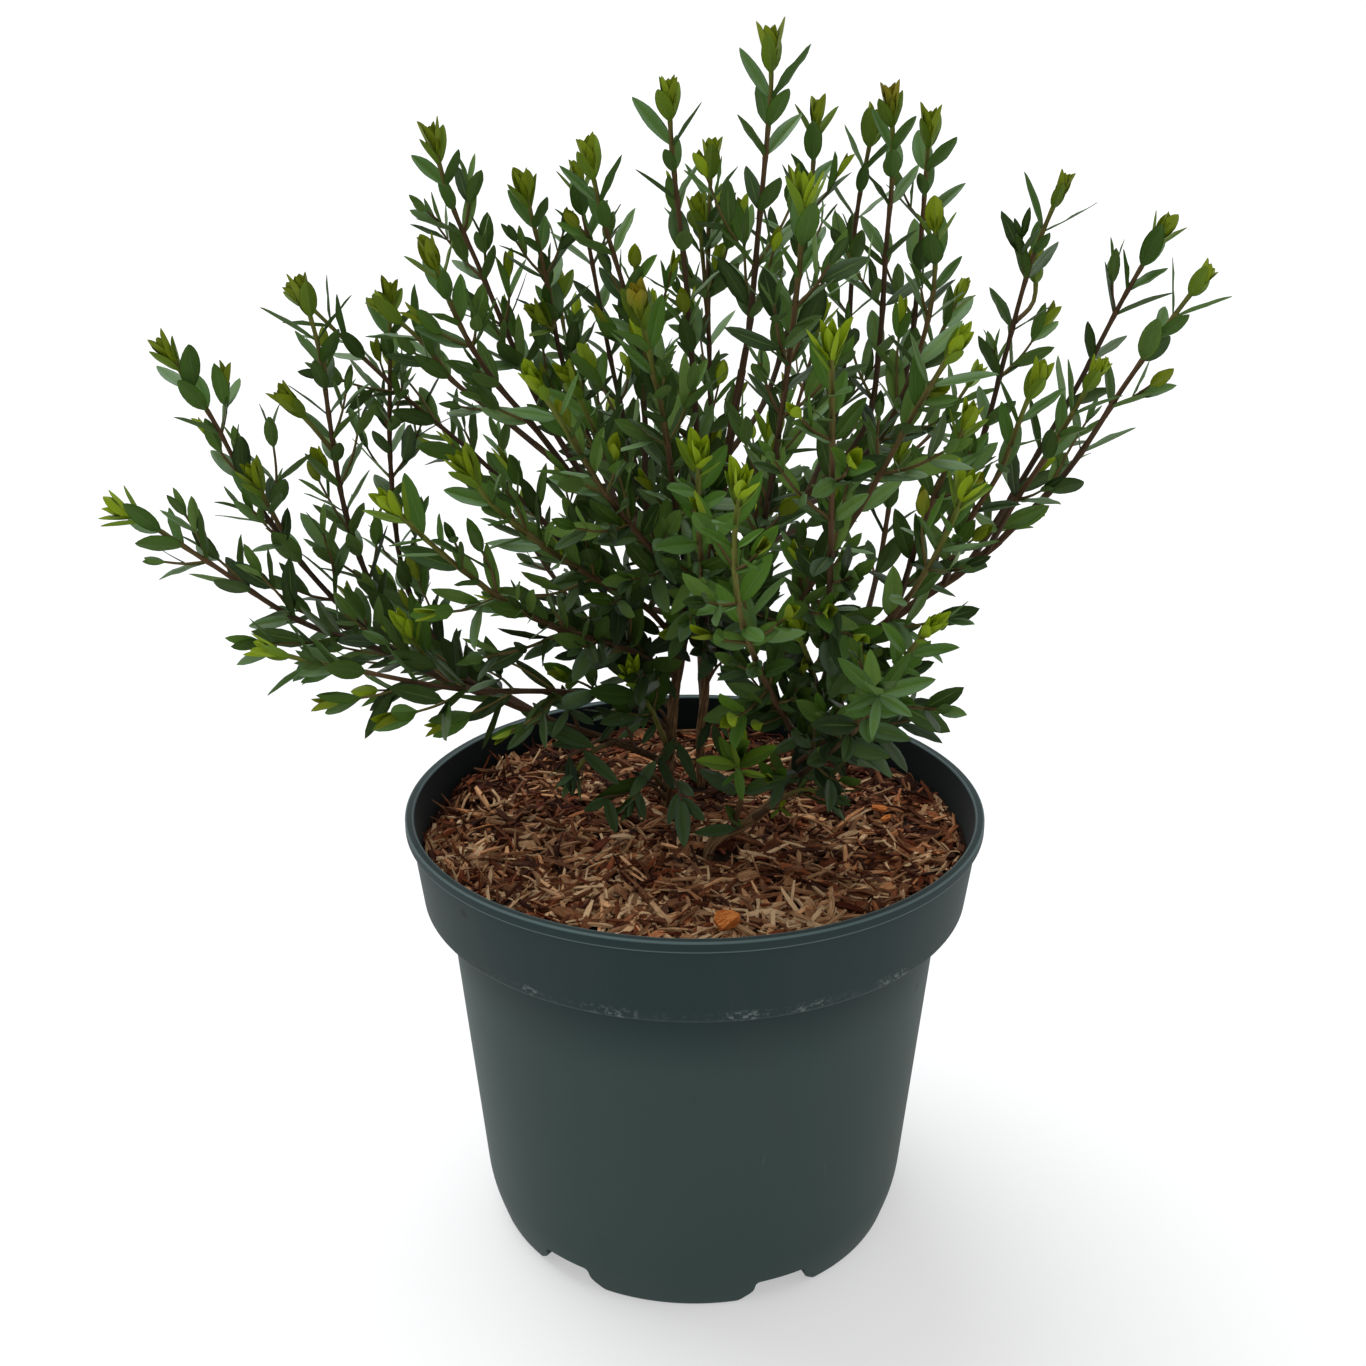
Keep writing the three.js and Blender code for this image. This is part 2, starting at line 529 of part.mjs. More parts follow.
// The leaf pairs of a route from the tip down to the bare wood. Each pair crosses the one below it.
function leafPairs(route, seed, bareLength) {
  const pairs = TIP_PAIRS.map(({ back, tilt, size }) => ({ s: route.length - back, tilt, size }));
  for (let s = route.length - FIRST_PAIR_BACK; s > bareLength; s -= PAIR_PITCH) {
    pairs.push({ s, tilt: PAIR_TILT, size: 1 });
  }
  return pairs.map((pair, k) => ({
    ...pair,
    k,
    turn: route.twist + PAIR_TURN * k + drawBetween(...TURN_STRAY, seed + k, 8),
    tilt: pair.tilt * drawBetween(...TILT_STRAY, seed + k, 9),
    size: pair.size * drawBetween(...SIZE_STRAY, seed + k, 10),
  }));
}

// The spheres that stand for a leaf when it is tested against its neighbours.
function leafSpheres(pose) {
  return CLEAR_STATIONS.map((station) => ({
    centre: pose.base.clone().addScaledVector(pose.axis, station * pose.length),
    radius: LEAF_HALF_WIDTH * pose.length * (station > 0.7 ? 0.62 : 1) + 0.2,
  }));
}

// Spheres along a stem.
function stemSpheres(route, node) {
  const spheres = [];
  for (let s = SPUR_LENGTH; s < route.length; s += 2) {
    const centre = route.curve.getPointAt(s / route.curve.getLength());
    spheres.push({ node, centre, radius: route.radiusAt(s) });
  }
  return spheres;
}

// Whether a leaf stays above the mulch and the rim, and off every solid of another node.
function isClear(spheres, node, taken) {
  for (const { centre, radius } of spheres) {
    const overRim = Math.hypot(centre.x, centre.y) > RIM_CLEAR_RADIUS;
    if (centre.z - radius < (overRim ? POT_HEIGHT + 1 : LEAF_FLOOR)) return false;
    for (const other of taken) {
      if (other.node !== node && centre.distanceTo(other.centre) < radius + other.radius + GAP) return false;
    }
  }
  return true;
}

// The edge and midrib points of a blade: pointed, folded up along its midrib, thickest near its root.
function bladePoints({ base, axis, across, face, length }) {
  const half = LEAF_HALF_WIDTH * length;
  const fold = LEAF_FOLD * length;
  const at = (along, side, up) =>
    base.clone().addScaledVector(axis, along * length).addScaledVector(across, side).addScaledVector(face, up);
  const left = BLADE_EDGE.map(([along, wide, up]) => at(along, -wide * half, up * fold));
  const right = BLADE_EDGE.map(([along, wide, up]) => at(along, wide * half, up * fold));
  const tip = at(1, 0, BLADE_TIP_LIFT * fold);
  const trough = at(BLADE_TROUGH[0], 0, BLADE_TROUGH[1] * fold);
  const keel = at(BLADE_KEEL[0], 0, BLADE_KEEL[1] * fold - LEAF_THICKNESS);
  return [...left, tip, ...right.reverse(), trough, keel];
}

// The faces of a blade that grows out of a stem face with lower corners a, b and upper corners topA, topB.
// first is the place of its own points in the list.
function bladeFaces([a, topA, topB, b], first) {
  const [left, leftTip, tip, rightTip, right, rib, keel] = [0, 1, 2, 3, 4, 5, 6].map((step) => first + step);
  const faces = [[a, topA, left], [topA, topB, rib], [topB, b, right], [b, a, keel]];
  faces.push([left, topA, rib], [a, left, keel], [topB, right, rib], [right, b, keel]);
  const edge = [left, leftTip, tip, rightTip, right];
  for (let step = 0; step < edge.length - 1; step++) {
    faces.push([edge[step + 1], edge[step], rib], [edge[step], edge[step + 1], keel]);
  }
  return faces;
}

// The kept pairs of a route with the poses of their leaves that are clear of every other node, from the root
// up.
function clearPairs(route, node, seed, bareLength, taken) {
  const kept = leafPairs(route, seed, bareLength).filter(({ k }) => k % KEPT_PAIRS === 0);
  return kept.reverse().map((pair) => {
    const poses = [0, 180].map((half) => {
      const length = LEAF_LENGTH * pair.size * drawBetween(...LENGTH_STRAY, seed + pair.k, 11 + half);
      const roll = drawBetween(...ROLL_STRAY, seed + pair.k, 12 + half);
      const turn = pair.turn + half;
      const tries = CLEAR_TURNS.map((more) => leafPose(route, pair.s, turn + more, pair.tilt, roll, length));
      const pose = tries.find((candidate) => isClear(leafSpheres(candidate), node, taken));
      if (pose) taken.push(...leafSpheres(pose).map((sphere) => ({ node, ...sphere })));
      return pose;
    });
    return { ...pair, poses };
  });
}

// A square stem with its leaves grown out of its faces, from an arc length up to its tip.
function leafyStem(route, from, pairs) {
  let twist = route.twist;
  const points = ringCorners(route, from, SHOOT_SIDES, twist);
  const faces = [];
  let rings = 1;
  const addRing = (s, blades = new Map()) => {
    const low = (rings - 1) * SHOOT_SIDES;
    points.push(...ringCorners(route, s, SHOOT_SIDES, twist));
    for (let corner = 0; corner < SHOOT_SIDES; corner++) {
      const next = (corner + 1) % SHOOT_SIDES;
      const quad = [low + corner, low + corner + SHOOT_SIDES, low + next + SHOOT_SIDES, low + next];
      faces.push({ quad, pose: blades.get(corner) });
    }
    rings += 1;
  };
  for (const { s, turn, poses } of pairs) {
    const quarters = Math.round((turn - twist) / 90);
    twist = turn - 90 * quarters;
    const front = THREE.MathUtils.euclideanModulo(quarters - 1, SHOOT_SIDES);
    const behind = (front + SHOOT_SIDES / 2) % SHOOT_SIDES;
    addRing(s - LEAF_FOOT / 2);
    addRing(s + LEAF_FOOT / 2, new Map([[front, poses[0]], [behind, poses[1]]]));
  }
  const triangles = endFaces(SHOOT_SIDES, rings);
  for (const { quad, pose } of faces) {
    if (pose) {
      triangles.push(...bladeFaces(quad, points.length));
      points.push(...bladePoints(pose));
    } else {
      triangles.push([quad[0], quad[1], quad[2]], [quad[0], quad[2], quad[3]]);
    }
  }
  return solidFromFaces(points, triangles);
}

// A leafy shoot from past its spur to its tip, with its sprigs fused on.
function shootSolid(shoot, index, taken) {
  const seed = 100 * (index + 1);
  const pairs = clearPairs(shoot, shoot.name, seed, BARE_LENGTH, taken);
  const stem = leafyStem(shoot, SPUR_LENGTH + GAP, pairs);
  const sprigs = shoot.side.map((sprig, place) => {
    const sprigPairs = clearPairs(sprig, shoot.name, seed + 50 + place, SPRIG_BARE_LENGTH, taken);
    return leafyStem(sprig, 0, sprigPairs);
  });
  return wasm.Manifold.union([stem, ...sprigs]);
}

// A woody stem: its trunk, its limbs and the short spurs that its shoots continue, fused.
function woodySolid(name, wood, shoots) {
  const parts = [];
  for (const route of wood.values()) {
    if (route.stem !== name) continue;
    parts.push(taperedTube(route, 0, route.length, LIMB_SIDES, LIMB_STEP));
  }
  for (const shoot of shoots) {
    if (wood.get(shoot.on).stem !== name) continue;
    parts.push(taperedTube(shoot, 0, SPUR_LENGTH, SHOOT_SIDES, SPUR_LENGTH, shoot.twist));
  }
  return wasm.Manifold.union(parts);
}

// The plain holes that the woody stems stand in.
function stemHoles(wood) {
  return STEMS.map(({ name }) => {
    const route = wood.get(name);
    const wider = { ...route, radiusAt: (s) => route.radiusAt(s) + 2 * GAP };
    const hole = taperedTube(wider, 0, route.length, LIMB_SIDES, LIMB_STEP);
    return hole.translate(0, 0, -GAP).add(hole);
  });
}

// A named mesh with its own material.
function piece(name, solid, finish) {
  const mesh = new THREE.Mesh(geometryOf(solid), new THREE.MeshStandardMaterial(FINISH[finish]));
  mesh.name = name;
  return mesh;
}

function pottedMyrtle() {
  const group = new THREE.Group();
  const wood = woodRoutes();
  const shoots = shootRoutes(wood);
  const holes = stemHoles(wood);
  group.add(piece("pot", potSolid(), "pot"));
  group.add(piece("soil", soilSolid(holes), "soil"));
  group.add(piece("bark_mulch", mulchSolid(holes), "mulch"));
  const taken = [];
  for (const { name } of STEMS) {
    group.add(piece(`woody_stem_${name}`, woodySolid(name, wood, shoots), "wood"));
  }
  for (const [name, route] of wood) {
    taken.push(...stemSpheres(route, name));
  }
  for (const shoot of shoots) {
    taken.push(...stemSpheres(shoot, shoot.name));
    shoot.side.forEach((sprig) => taken.push(...stemSpheres(sprig, shoot.name)));
  }
  shoots.forEach((shoot, index) => {
    group.add(piece(shoot.name, shootSolid(shoot, index, taken), "leaf"));
  });
  return group;
}

export default pottedMyrtle();
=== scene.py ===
# Potted tarentina myrtle: the finish and the fine surfaces of a young evergreen bush in its container.
# Lengths are in millimetres and become metres where a mesh is made. +Z is up.
import json
import math

import bpy
import numpy as np
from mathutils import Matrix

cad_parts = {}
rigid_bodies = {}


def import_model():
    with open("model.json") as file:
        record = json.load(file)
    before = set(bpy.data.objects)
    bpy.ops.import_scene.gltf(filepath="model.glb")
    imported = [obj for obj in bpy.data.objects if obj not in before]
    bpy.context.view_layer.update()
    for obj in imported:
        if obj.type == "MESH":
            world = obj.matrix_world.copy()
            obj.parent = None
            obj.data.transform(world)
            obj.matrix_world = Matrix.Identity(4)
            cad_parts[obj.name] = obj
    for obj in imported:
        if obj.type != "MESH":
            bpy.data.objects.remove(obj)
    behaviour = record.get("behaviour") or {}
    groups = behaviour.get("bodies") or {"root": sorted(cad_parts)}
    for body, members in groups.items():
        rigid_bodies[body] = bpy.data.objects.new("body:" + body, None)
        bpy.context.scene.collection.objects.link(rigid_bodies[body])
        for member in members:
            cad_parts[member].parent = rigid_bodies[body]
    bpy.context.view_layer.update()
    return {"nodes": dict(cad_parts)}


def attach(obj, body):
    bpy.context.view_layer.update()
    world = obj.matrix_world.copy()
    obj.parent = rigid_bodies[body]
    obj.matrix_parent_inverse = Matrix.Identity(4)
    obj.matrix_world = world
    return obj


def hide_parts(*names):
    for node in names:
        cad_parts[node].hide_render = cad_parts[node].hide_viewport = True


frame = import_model()

MM = 0.001

# Container: lip, collar, shoulder, tapered body, feet
POT_HEIGHT = 177
POT_WALL = 2
LIP_RADIUS = 112.5
LIP_DEPTH = 4.5
LIP_WIDTH = 3.4
COLLAR_TOP_RADIUS = 110.4
COLLAR_LOW_RADIUS = 106.8
COLLAR_LOW_Z = 143.3
SHOULDER_RADIUS = 97.5
SHOULDER_DROP = 1.2
HEEL_RADIUS = 86.1
HEEL_Z = 14.7
FOOT_RADIUS = 81.4
FOOT_INNER_RADIUS = 58
HUB_RADIUS = 32
FOOT_COUNT = 6
FOOT_HEIGHT = 10.8
NOTCH_WIDTH = 21.5
NOTCH_CORNER = 4
NOTCH_START = 50
NOTCH_LOW_Z = -3
FOOT_CORNER = 7
FIRST_NOTCH_DEG = 23.4
FLOOR_Z = 14
POT_SEGMENTS = 160
ARC_STEPS = 4

# Where a surface's normal times its place (in metres) falls below this, it is the container's inside
POT_INSIDE = -0.06

# Bark mulch: a fine bed, and the chips that are heaped on it one by one on a grid of heights
MULCH_EDGE_Z = 166.5
MULCH_MIDDLE_Z = 168.5
MULCH_FLOOR_Z = 157.3
BED_DROP = 5
BED_RIPPLE = 0.7
BED_RINGS = 44
BED_SEGMENTS = 120
HEAP_CELL = 1.25
HEAP_LIMIT_Z = 174.5
WALL_CLEARANCE = 0.6

# Chips: the gaps that they keep to the wall and the stems, how steep one may stand before and after it is
# laid (in radians), how crooked it is, and how its tone differs in front, on the right and in patches
CHIP_SEED = 11
CHIP_SIDES = 4
CHIP_MIDDLE_GAP = 2.5
CHIP_TURN_GAP = 2
CHIP_WALL_GAP = 1.2
CHIP_STEM_GAP = 3.6
CHIP_STEEPEST = (1.15, 1.2)
CHIP_THICK_STRAY = (0.75, 1.2)
CHIP_END_STRAY = (-0.08, 0.1)
CHIP_BOW = (-0.07, 0.07)
CHIP_LIFT = (-0.05, 0.07)
CHIP_TWIST = (-0.9, 0.9)
CHIP_LYING = 0.5
FRONT_PALER = 0.22
RIGHT_DARKER = 0.035
PATCHES_PALER = 0.2

# Kinds of chip: name, how pale, rings of its shell, how ragged, and how it is laid: count, length, width,
# thickness, how far one sinks into those below, how far it may rise in degrees, and if it isn't all over the
# bed, from and to what share of its area, and from and to how many degrees round it
CHIP_KINDS = [
    ("dust", 0.75, 3, 0.25, (1000, (2.5, 6), (1, 2.6), (0.7, 1.5), 0.7, 20)),
    ("bark", 0.72, 5, 0.22, (600, (7, 17), (2.2, 5.2), (0.9, 2.2), 0.4, 30)),
    ("fibre", 1, 4, 0.28, (3400, (6, 21), (0.7, 2.3), (0.5, 1.3), 0.5, 24)),
    ("splinter", 1, 4, 0.2, (760, (6, 15), (0.5, 1.1), (0.4, 0.7), 0.3, 42)),
    ("wisp", 0.95, 4, 0.2, (120, (7, 15), (0.6, 1.1), (0.4, 0.7), 0.3, 130, (0.72, 1), (118, 215))),
]

# Bright chips that the photo shows, as (pixel x, pixel y, length, width, thickness, turn, how pale)
BRIGHT_CHIPS = [
    (727, 920, 8.5, 6.8, 3.6, 35, 1),
    (748, 876, 8, 4.4, 1.6, 20, 0.62),
    (879, 808, 6, 2.6, 1.4, -15, 1),
    (886, 818, 4.4, 2, 1.2, 30, 1),
]
BRIGHT_RISE = 2.5
BRIGHT_RINGS = 7
BRIGHT_RAGGED = 0.16

# Woody stems and shoots, with (root, tip) radii
STEM_HOLE_Z = 147
SPUR_LENGTH = 8
SHOOT_RADII = (1.25, 0.75)
SPRIG_RADII = (0.95, 0.75)
SPROUT_RADII = (0.8, 0.5)
SPROUT_AGE = 0.6
SIDE_AGE = 0.26
TWIG_END = 0.2
BARE_LENGTH = 18
SPRIG_BARE_LENGTH = 14
WOOD_SIDES = 16
WOOD_STEP = 2.5
WOOD_LUMPS = [(1, 23), (2, 14), (3, 9), (1, 6)]
LUMP_HEIGHT = 0.085
TWIG_SIDES = 8
TWIG_STEP = 3
NODE_SWELL = 0.22
NODE_REACH = 2.2

# Leaf pairs, numbered from the tip down. TIP_PAIRS has (distance back, tilt, size), TIP_BUDS has a turn too.
# One more pair stands near the tip, and dense shoots have such a pair between any two
LEAF_LENGTH = 19.5
LEAF_HALF_WIDTH = 0.18
LEAF_OUTSET = 0.2
TIP_REACH = 11
TIP_PAIRS = [(1.2, 23, 0.66), (4.2, 37, 0.74)]
TIP_BUDS = [(0.3, 5, 0.44, 25), (0.4, 10, 0.54, 0), (0.9, 19, 0.63, 50)]
TIP_FULLNESS = (0.94, 1.1)
TIP_RIGHT_LESS = 0.22
TIP_FLARE = 1
TIP_SLIM = 0.26
TIP_TINT = 0.24
TIP_TINT_STRAYS = (0.2, 0.16)
TIP_NEAR_LIMIER = 0.4
FIRST_PAIR_BACK = 12
PAIR_PITCH = 18.5
PAIR_TILT = 44
PAIR_TURN = 102
MORE_PAIR_BACK = 21
MORE_PAIR_K = 2.5
MORE_PAIR_SIZE = 0.82
DENSE_SHOOTS = (3, 4, 7, 8, 15, 18, 28)
FRONT_SMALLER = 0.16
TURN_STRAY = (-14, 14)
TILT_STRAY = (0.85, 1.15)
SIZE_STRAY = (0.9, 1.14)
LENGTH_STRAY = (0.92, 1.08)
ROLL_STRAY = (-16, 16)

# A leaf keeps off its neighbours by spheres at these shares of its length, and may turn by these degrees. The
# added pairs and the side twigs may come nearer
CLEAR_STATIONS = np.array([0.3, 0.55, 0.82])
CLEAR_SLIM = np.array([1, 1, 0.62])
CLEAR_MORE = 0.2
CLEAR_TURNS = [0, 28, -28, 56, -56]
CROWD_LIMIT = 60000
GAP = 0.3
MORE_EASE = 0.8
LEAF_FLOOR = 173.5
RIM_CLEAR_RADIUS = 98

# Fine form of the leaves: stations from the stalk to the tip, columns over the upper face and back below it,
# and how many of the columns are on top. Small leaves have fewer
LEAF_GRID = (
    np.array([0, 0.05, 0.09, 0.17, 0.29, 0.43, 0.57, 0.71, 0.84, 0.94, 1]),
    np.array([-1, -0.6, -0.2, 0, 0.2, 0.6, 1, 0.5, 0, -0.5]),
    7,
)
SMALL_LEAF_GRID = (
    np.array([0, 0.06, 0.14, 0.3, 0.5, 0.7, 0.88, 1]),
    np.array([-1, -0.5, 0, 0.5, 1, 0.5, 0, -0.5]),
    5,
)
BLADE_START = 0.05
BLADE_FULLNESS = (0.6, 0.74)
STALK_HALF_WIDTH = 0.45
BLADE_THICKNESS = 0.3
MIDRIB_WIDTH = 0.16
MIDRIB_GROOVE = 0.14
MIDRIB_RIDGE = 0.22
WIDTH_STRAY = (0.8, 1.1)
FOLD_STRAY = (0.05, 0.42)
CURL_STRAY = (0.05, 0.32)
BEND_STRAY = (-0.13, 0.05)
WAVE_STRAY = (0, 0.018)
YOUNG_WIDEN = 0.34
YOUNG_FOLD = 0.25
YOUNG_BEND = 0.15
PICKED_SLIM = 0.84

# How young the pairs are from the tip down, and the shoots that are fresher, duller, reddish or turned askew
YOUTH = [1, 0.7, 0.34, 0.16, 0.06]
FRESH_SHOOTS = {7: 0.2, 8: 0.22, 29: 0.36, 30: 0.5, 40: 0.5, 42: 0.4, 48: 0.3}
DULL_SHOOTS = (46, 47, 49)
DULLNESS = 0.15
FRESH_STRAY = 0.12
FRESH_PAIRS = 6
BLUSHED_SHOOTS = (18, 23)
ASKEW_SHOOTS = (2, 12, 16, 19, 21, 23, 25)
ASKEW_TWIST = 186
SHOOT_BROWN_LENGTH = 72

# Side twigs in the leaf axils, ever more towards the middle of the bush. SIDE_TIPS has the (tilt, size) of
# their first pairs
SIDE_BACK = 30
SIDE_SPRIG_BACK = 24
SIDE_CHANCE = (0.5, 0.9)
SIDE_LEFT_MORE = 0.3
SIDE_LEFT_REACH = 150
SIDE_LEFT_LIMITS = (-0.7, 0.4)
SIDE_LOW_RIGHT_LESS = 0.4
SIDE_RIGHT_SPAN = (0, 100)
SIDE_LOW_SPAN = (290, 230)
SIDE_SHARE_OF_TIP = 0.6
SIDE_LENGTH = (9, 37)
SIDE_LEAN = 38
SIDE_STRAIGHTEN = 0.7
SIDE_RADII = (0.62, 0.42)
SIDE_PITCH = 9.5
SIDE_LEAF_SIZE = (0.66, 1)
SIDE_DEEP_MORE = 0.16
SIDE_TIPS = [(16, 0.6), (32, 0.86)]
SIDE_TILT = 44
SIDE_BRIGHT_SHARE = 0.34
SIDE_EASE = 0.5
SIDE_SEED = 7000

# The bush's rough shell, and how much less its painted shade darkens high and young leaves
BUSH_MIDDLE = np.array([-5, 8, 208])
BUSH_REACH = np.array([205, 180, 200])
SHADE_HIGH_LESS = 0.4
SHADE_YOUNG_LESS = 0.8

# From where to where places count ever more as deep in the shell, high, in front, on the right and low
DEPTH_SPAN = (0.95, 0.35)
HIGH_SPAN = (250, 330)
FRONT_SPAN = (-40, -130)
RIGHT_SPAN = (60, 150)
LOW_TIP_SPAN = (380, 280)

# The photo's camera. Its frame is square, and a picked pixel with a depth behind (+) or before (-) the
# container's axis gives a place
PHOTO_SIZE = 1366
PHOTO_CENTRE = 683
PHOTO_FOCAL = 1700
PHOTO_CAMERA = np.array([-4.5, -606.4, 459.9])
PHOTO_PITCH = math.radians(21.11)
SENSOR_WIDTH = 36

# A soft high sun beside the even white sky, and a pale floor that glows a little
SUN_STRENGTH = 3
SUN_ANGLE = 50
SUN_TURN = (-24, -20, 0)
SUN_COLOUR = (0.95, 0.98, 1)
FLOOR_COLOUR = (0.4, 0.4, 0.4)
FLOOR_GLOW = 0.43
FLOOR_RADIUS = 40000
FLOOR_SIDES = 96

# Three woody stems: name, where it enters the soil in mm, radii, and [(pixel x, pixel y, depth)]
STEMS = [
    ("main", (-11, 19), (2.4, 1.8), [(670, 745, 18), (675, 690, 14), (684, 635, 8), (688, 575, 2)]),
    ("second", (3, 42), (2, 1.6), [(700, 745, 38), (705, 690, 34), (710, 620, 28), (718, 540, 18)]),
    ("low", (6, -24), (2.2, 1.6),
     [(745, 824, -20), (778, 795, -2), (800, 750, 6), (822, 690, 2), (836, 640, -4)]),
]

# Woody limbs: name, the stem or limb that it forks from, at what share of its length, radii, picks
LIMBS = [
    ("west", "main", 0.3, (1.5, 1.1), [(610, 740, 4), (555, 722, 0), (505, 702, -4), (452, 684, -8)]),
    ("left", "main", 0.97, (1.8, 1.4), [(655, 545, 14), (600, 498, 20), (548, 455, 24)]),
    ("leader", "second", 0.98, (1.7, 1.5), [(724, 480, 8), (733, 420, 3), (742, 370, 1)]),
    ("right", "second", 0.7, (1.7, 1.4), [(745, 560, 34), (795, 505, 38), (845, 462, 40)]),
    ("east", "low", 0.9, (1.8, 1.4), [(870, 635, -4), (915, 603, -6), (961, 572, -8), (1000, 541, -10)]),
]

# Leafy shoots: the stem or limb that each grows on, at what share of its length, picks from root to tip, and
# the share and picks of its sprig if it has one
SHOOTS = [
    ("west", 0.99, [(385, 652, -14), (300, 621, -20), (205, 560, -24), (132, 516, -24), (100, 510, -24)]),
    ("west", 0.82, [(400, 656, 8), (330, 595, 6), (262, 510, 6), (210, 415, 8), (155, 335, 8)], 0.5,
     [(268, 505, -6), (245, 462, -12)]),
    ("west", 0.74, [(420, 650, 8), (375, 592, 16), (345, 510, 20), (331, 430, 22), (318, 345, 24),
     (298, 278, 24)], 0.66, [(305, 418, 14), (278, 390, 10)]),
    ("west", 0.6, [(450, 655, 34), (408, 589, 52), (391, 472, 60), (390, 370, 64), (390, 278, 66)]),
    ("west", 0.93, [(440, 672, -18), (416, 645, -26), (398, 612, -30)]),
    ("main", 0.42, [(625, 700, 0), (560, 692, -16), (459, 689, -36), (360, 671, -44), (285, 655, -48),
     (250, 642, -48)]),
    ("main", 0.62, [(630, 650, -14), (558, 629, -44), (499, 597, -64), (430, 543, -80), (378, 492, -90)]),
    ("main", 0.74, [(640, 602, -12), (594, 578, -34), (540, 544, -52), (490, 502, -64), (456, 452, -70)]),
    ("main", 0.84, [(610, 590, 30), (540, 518, 46), (477, 457, 54), (402, 394, 58), (345, 340, 60),
     (285, 282, 60)]),
    ("left", 0.99, [(500, 416, 32), (452, 380, 36), (425, 345, 38), (372, 298, 40)]),
    ("left", 0.86, [(535, 428, 8), (490, 375, 0), (460, 325, -8), (425, 238, -12)]),
    ("left", 0.7, [(545, 415, 38), (508, 335, 42), (478, 265, 42), (452, 205, 38), (428, 123, 34)]),
    ("left", 0.5, [(590, 440, 46), (562, 360, 50), (543, 265, 46), (520, 168, 40)], 0.62, [(552, 330, 36),
     (528, 300, 30)]),
    ("left", 0.3, [(612, 470, -4), (590, 420, -20), (563, 366, -30)]),
    ("main", 0.92, [(672, 570, -26), (640, 536, -50), (601, 487, -68), (560, 420, -84), (523, 364, -94)]),
    ("left", 0.24, [(646, 500, 10), (645, 420, 18), (632, 320, 16), (605, 225, 12), (584, 138, 8)]),
    ("left", 0.12, [(640, 480, 60), (615, 380, 80), (588, 240, 90), (574, 158, 92)]),
    ("main", 1, [(680, 540, -26), (672, 475, -50), (658, 390, -66), (645, 335, -74), (636, 284, -78)]),
    ("second", 0.9, [(700, 470, 22), (692, 360, 18), (684, 260, 14), (672, 150, 8), (668, 76, 6)]),
    ("second", 0.8, [(714, 500, 62), (710, 380, 72), (708, 260, 76), (712, 140, 76)], 0.6, [(702, 250, 66),
     (696, 196, 60)]),
    ("leader", 1, [(749, 330, 0), (758, 235, -2), (766, 150, -4), (771, 90, -4), (770, 26, -4)]),
    ("leader", 0.55, [(765, 400, 34), (790, 320, 52), (807, 230, 60), (818, 98, 64)]),
    ("right", 0.98, [(868, 420, 36), (880, 340, 30), (886, 250, 24), (893, 160, 20), (890, 84, 18)]),
    ("right", 0.78, [(832, 430, 62), (848, 330, 72), (856, 220, 76), (877, 108, 78)]),
    ("right", 0.91, [(886, 434, 52), (910, 350, 62), (920, 250, 60), (931, 108, 56)]),
    ("right", 0.85, [(870, 450, 14), (905, 390, -4), (932, 300, -14), (936, 198, -20)]),
    ("right", 0.64, [(846, 480, 82), (912, 390, 98), (968, 276, 106)]),
    ("second", 0.55, [(745, 600, -24), (768, 500, -64), (782, 410, -84), (796, 300, -94), (808, 166, -98)]),
    ("second", 0.62, [(702, 570, -60), (698, 510, -106), (700, 440, -126)]),
    ("low", 0.62, [(760, 670, -80), (738, 600, -136), (735, 530, -156), (745, 466, -168)]),
    ("east", 1, [(1065, 474, -14), (1127, 382, -18), (1180, 308, -16), (1218, 260, -14)]),
    ("east", 0.8, [(1016, 490, 14), (1075, 390, 20), (1128, 290, 22), (1176, 210, 24)]),
    ("east", 0.92, [(1016, 500, -34), (1053, 446, -42), (1107, 353, -48)]),
    ("east", 0.68, [(970, 520, -44), (1000, 471, -54), (1024, 409, -60), (1046, 358, -62)]),
    ("east", 0.55, [(950, 520, 16), (985, 430, 24), (1004, 360, 26), (1032, 260, 24), (1070, 168, 22)],
     0.66, [(1034, 300, 34), (1033, 243, 38)]),
    ("east", 0.4, [(925, 520, -50), (952, 455, -66), (976, 398, -72)]),
    ("low", 0.97, [(862, 640, -50), (908, 598, -96), (947, 533, -116), (974, 468, -124)]),
    ("low", 0.8, [(800, 610, -58), (838, 545, -84), (880, 475, -104), (922, 400, -120), (971, 322, -130)]),
    ("low", 0.88, [(830, 580, -90), (832, 480, -124), (832, 400, -144), (830, 322, -154)]),
    ("low", 0.56, [(850, 725, -60), (884, 690, -104), (915, 645, -128), (946, 614, -136)]),
    ("low", 0.48, [(838, 745, -60), (866, 718, -108), (880, 692, -146)]),
    ("low", 0.7, [(812, 668, -44), (800, 640, -58), (788, 612, -64)]),
    ("low", 0.24, [(742, 790, -44), (737, 764, -56), (738, 722, -62)]),
    ("east", 0.2, [(880, 560, 30), (892, 490, 44), (905, 430, 50)]),
    ("second", 0.72, [(745, 540, -6), (768, 480, -14), (776, 415, -18)]),
    ("west", 0.3, [(592, 752, -10), (575, 772, -18), (563, 796, -24)]),
    ("main", 0.2, [(648, 775, 2), (634, 800, -8), (622, 826, -16)]),
    ("main", 0.34, [(650, 708, -6), (636, 690, -20), (628, 660, -28)]),
    ("low", 0.3, [(800, 790, -14), (825, 795, -20), (848, 812, -24)]),
    ("main", 0.5, [(600, 640, 60), (500, 500, 110), (420, 400, 130)]),
    ("left", 0.4, [(596, 440, 90), (566, 340, 140), (556, 268, 152)]),
    ("second", 0.4, [(690, 520, 130), (660, 380, 180), (650, 290, 190)]),
    ("second", 0.5, [(760, 520, 130), (805, 380, 170), (826, 300, 180)]),
    ("right", 0.4, [(850, 500, 110), (935, 430, 140), (985, 360, 150)]),
]

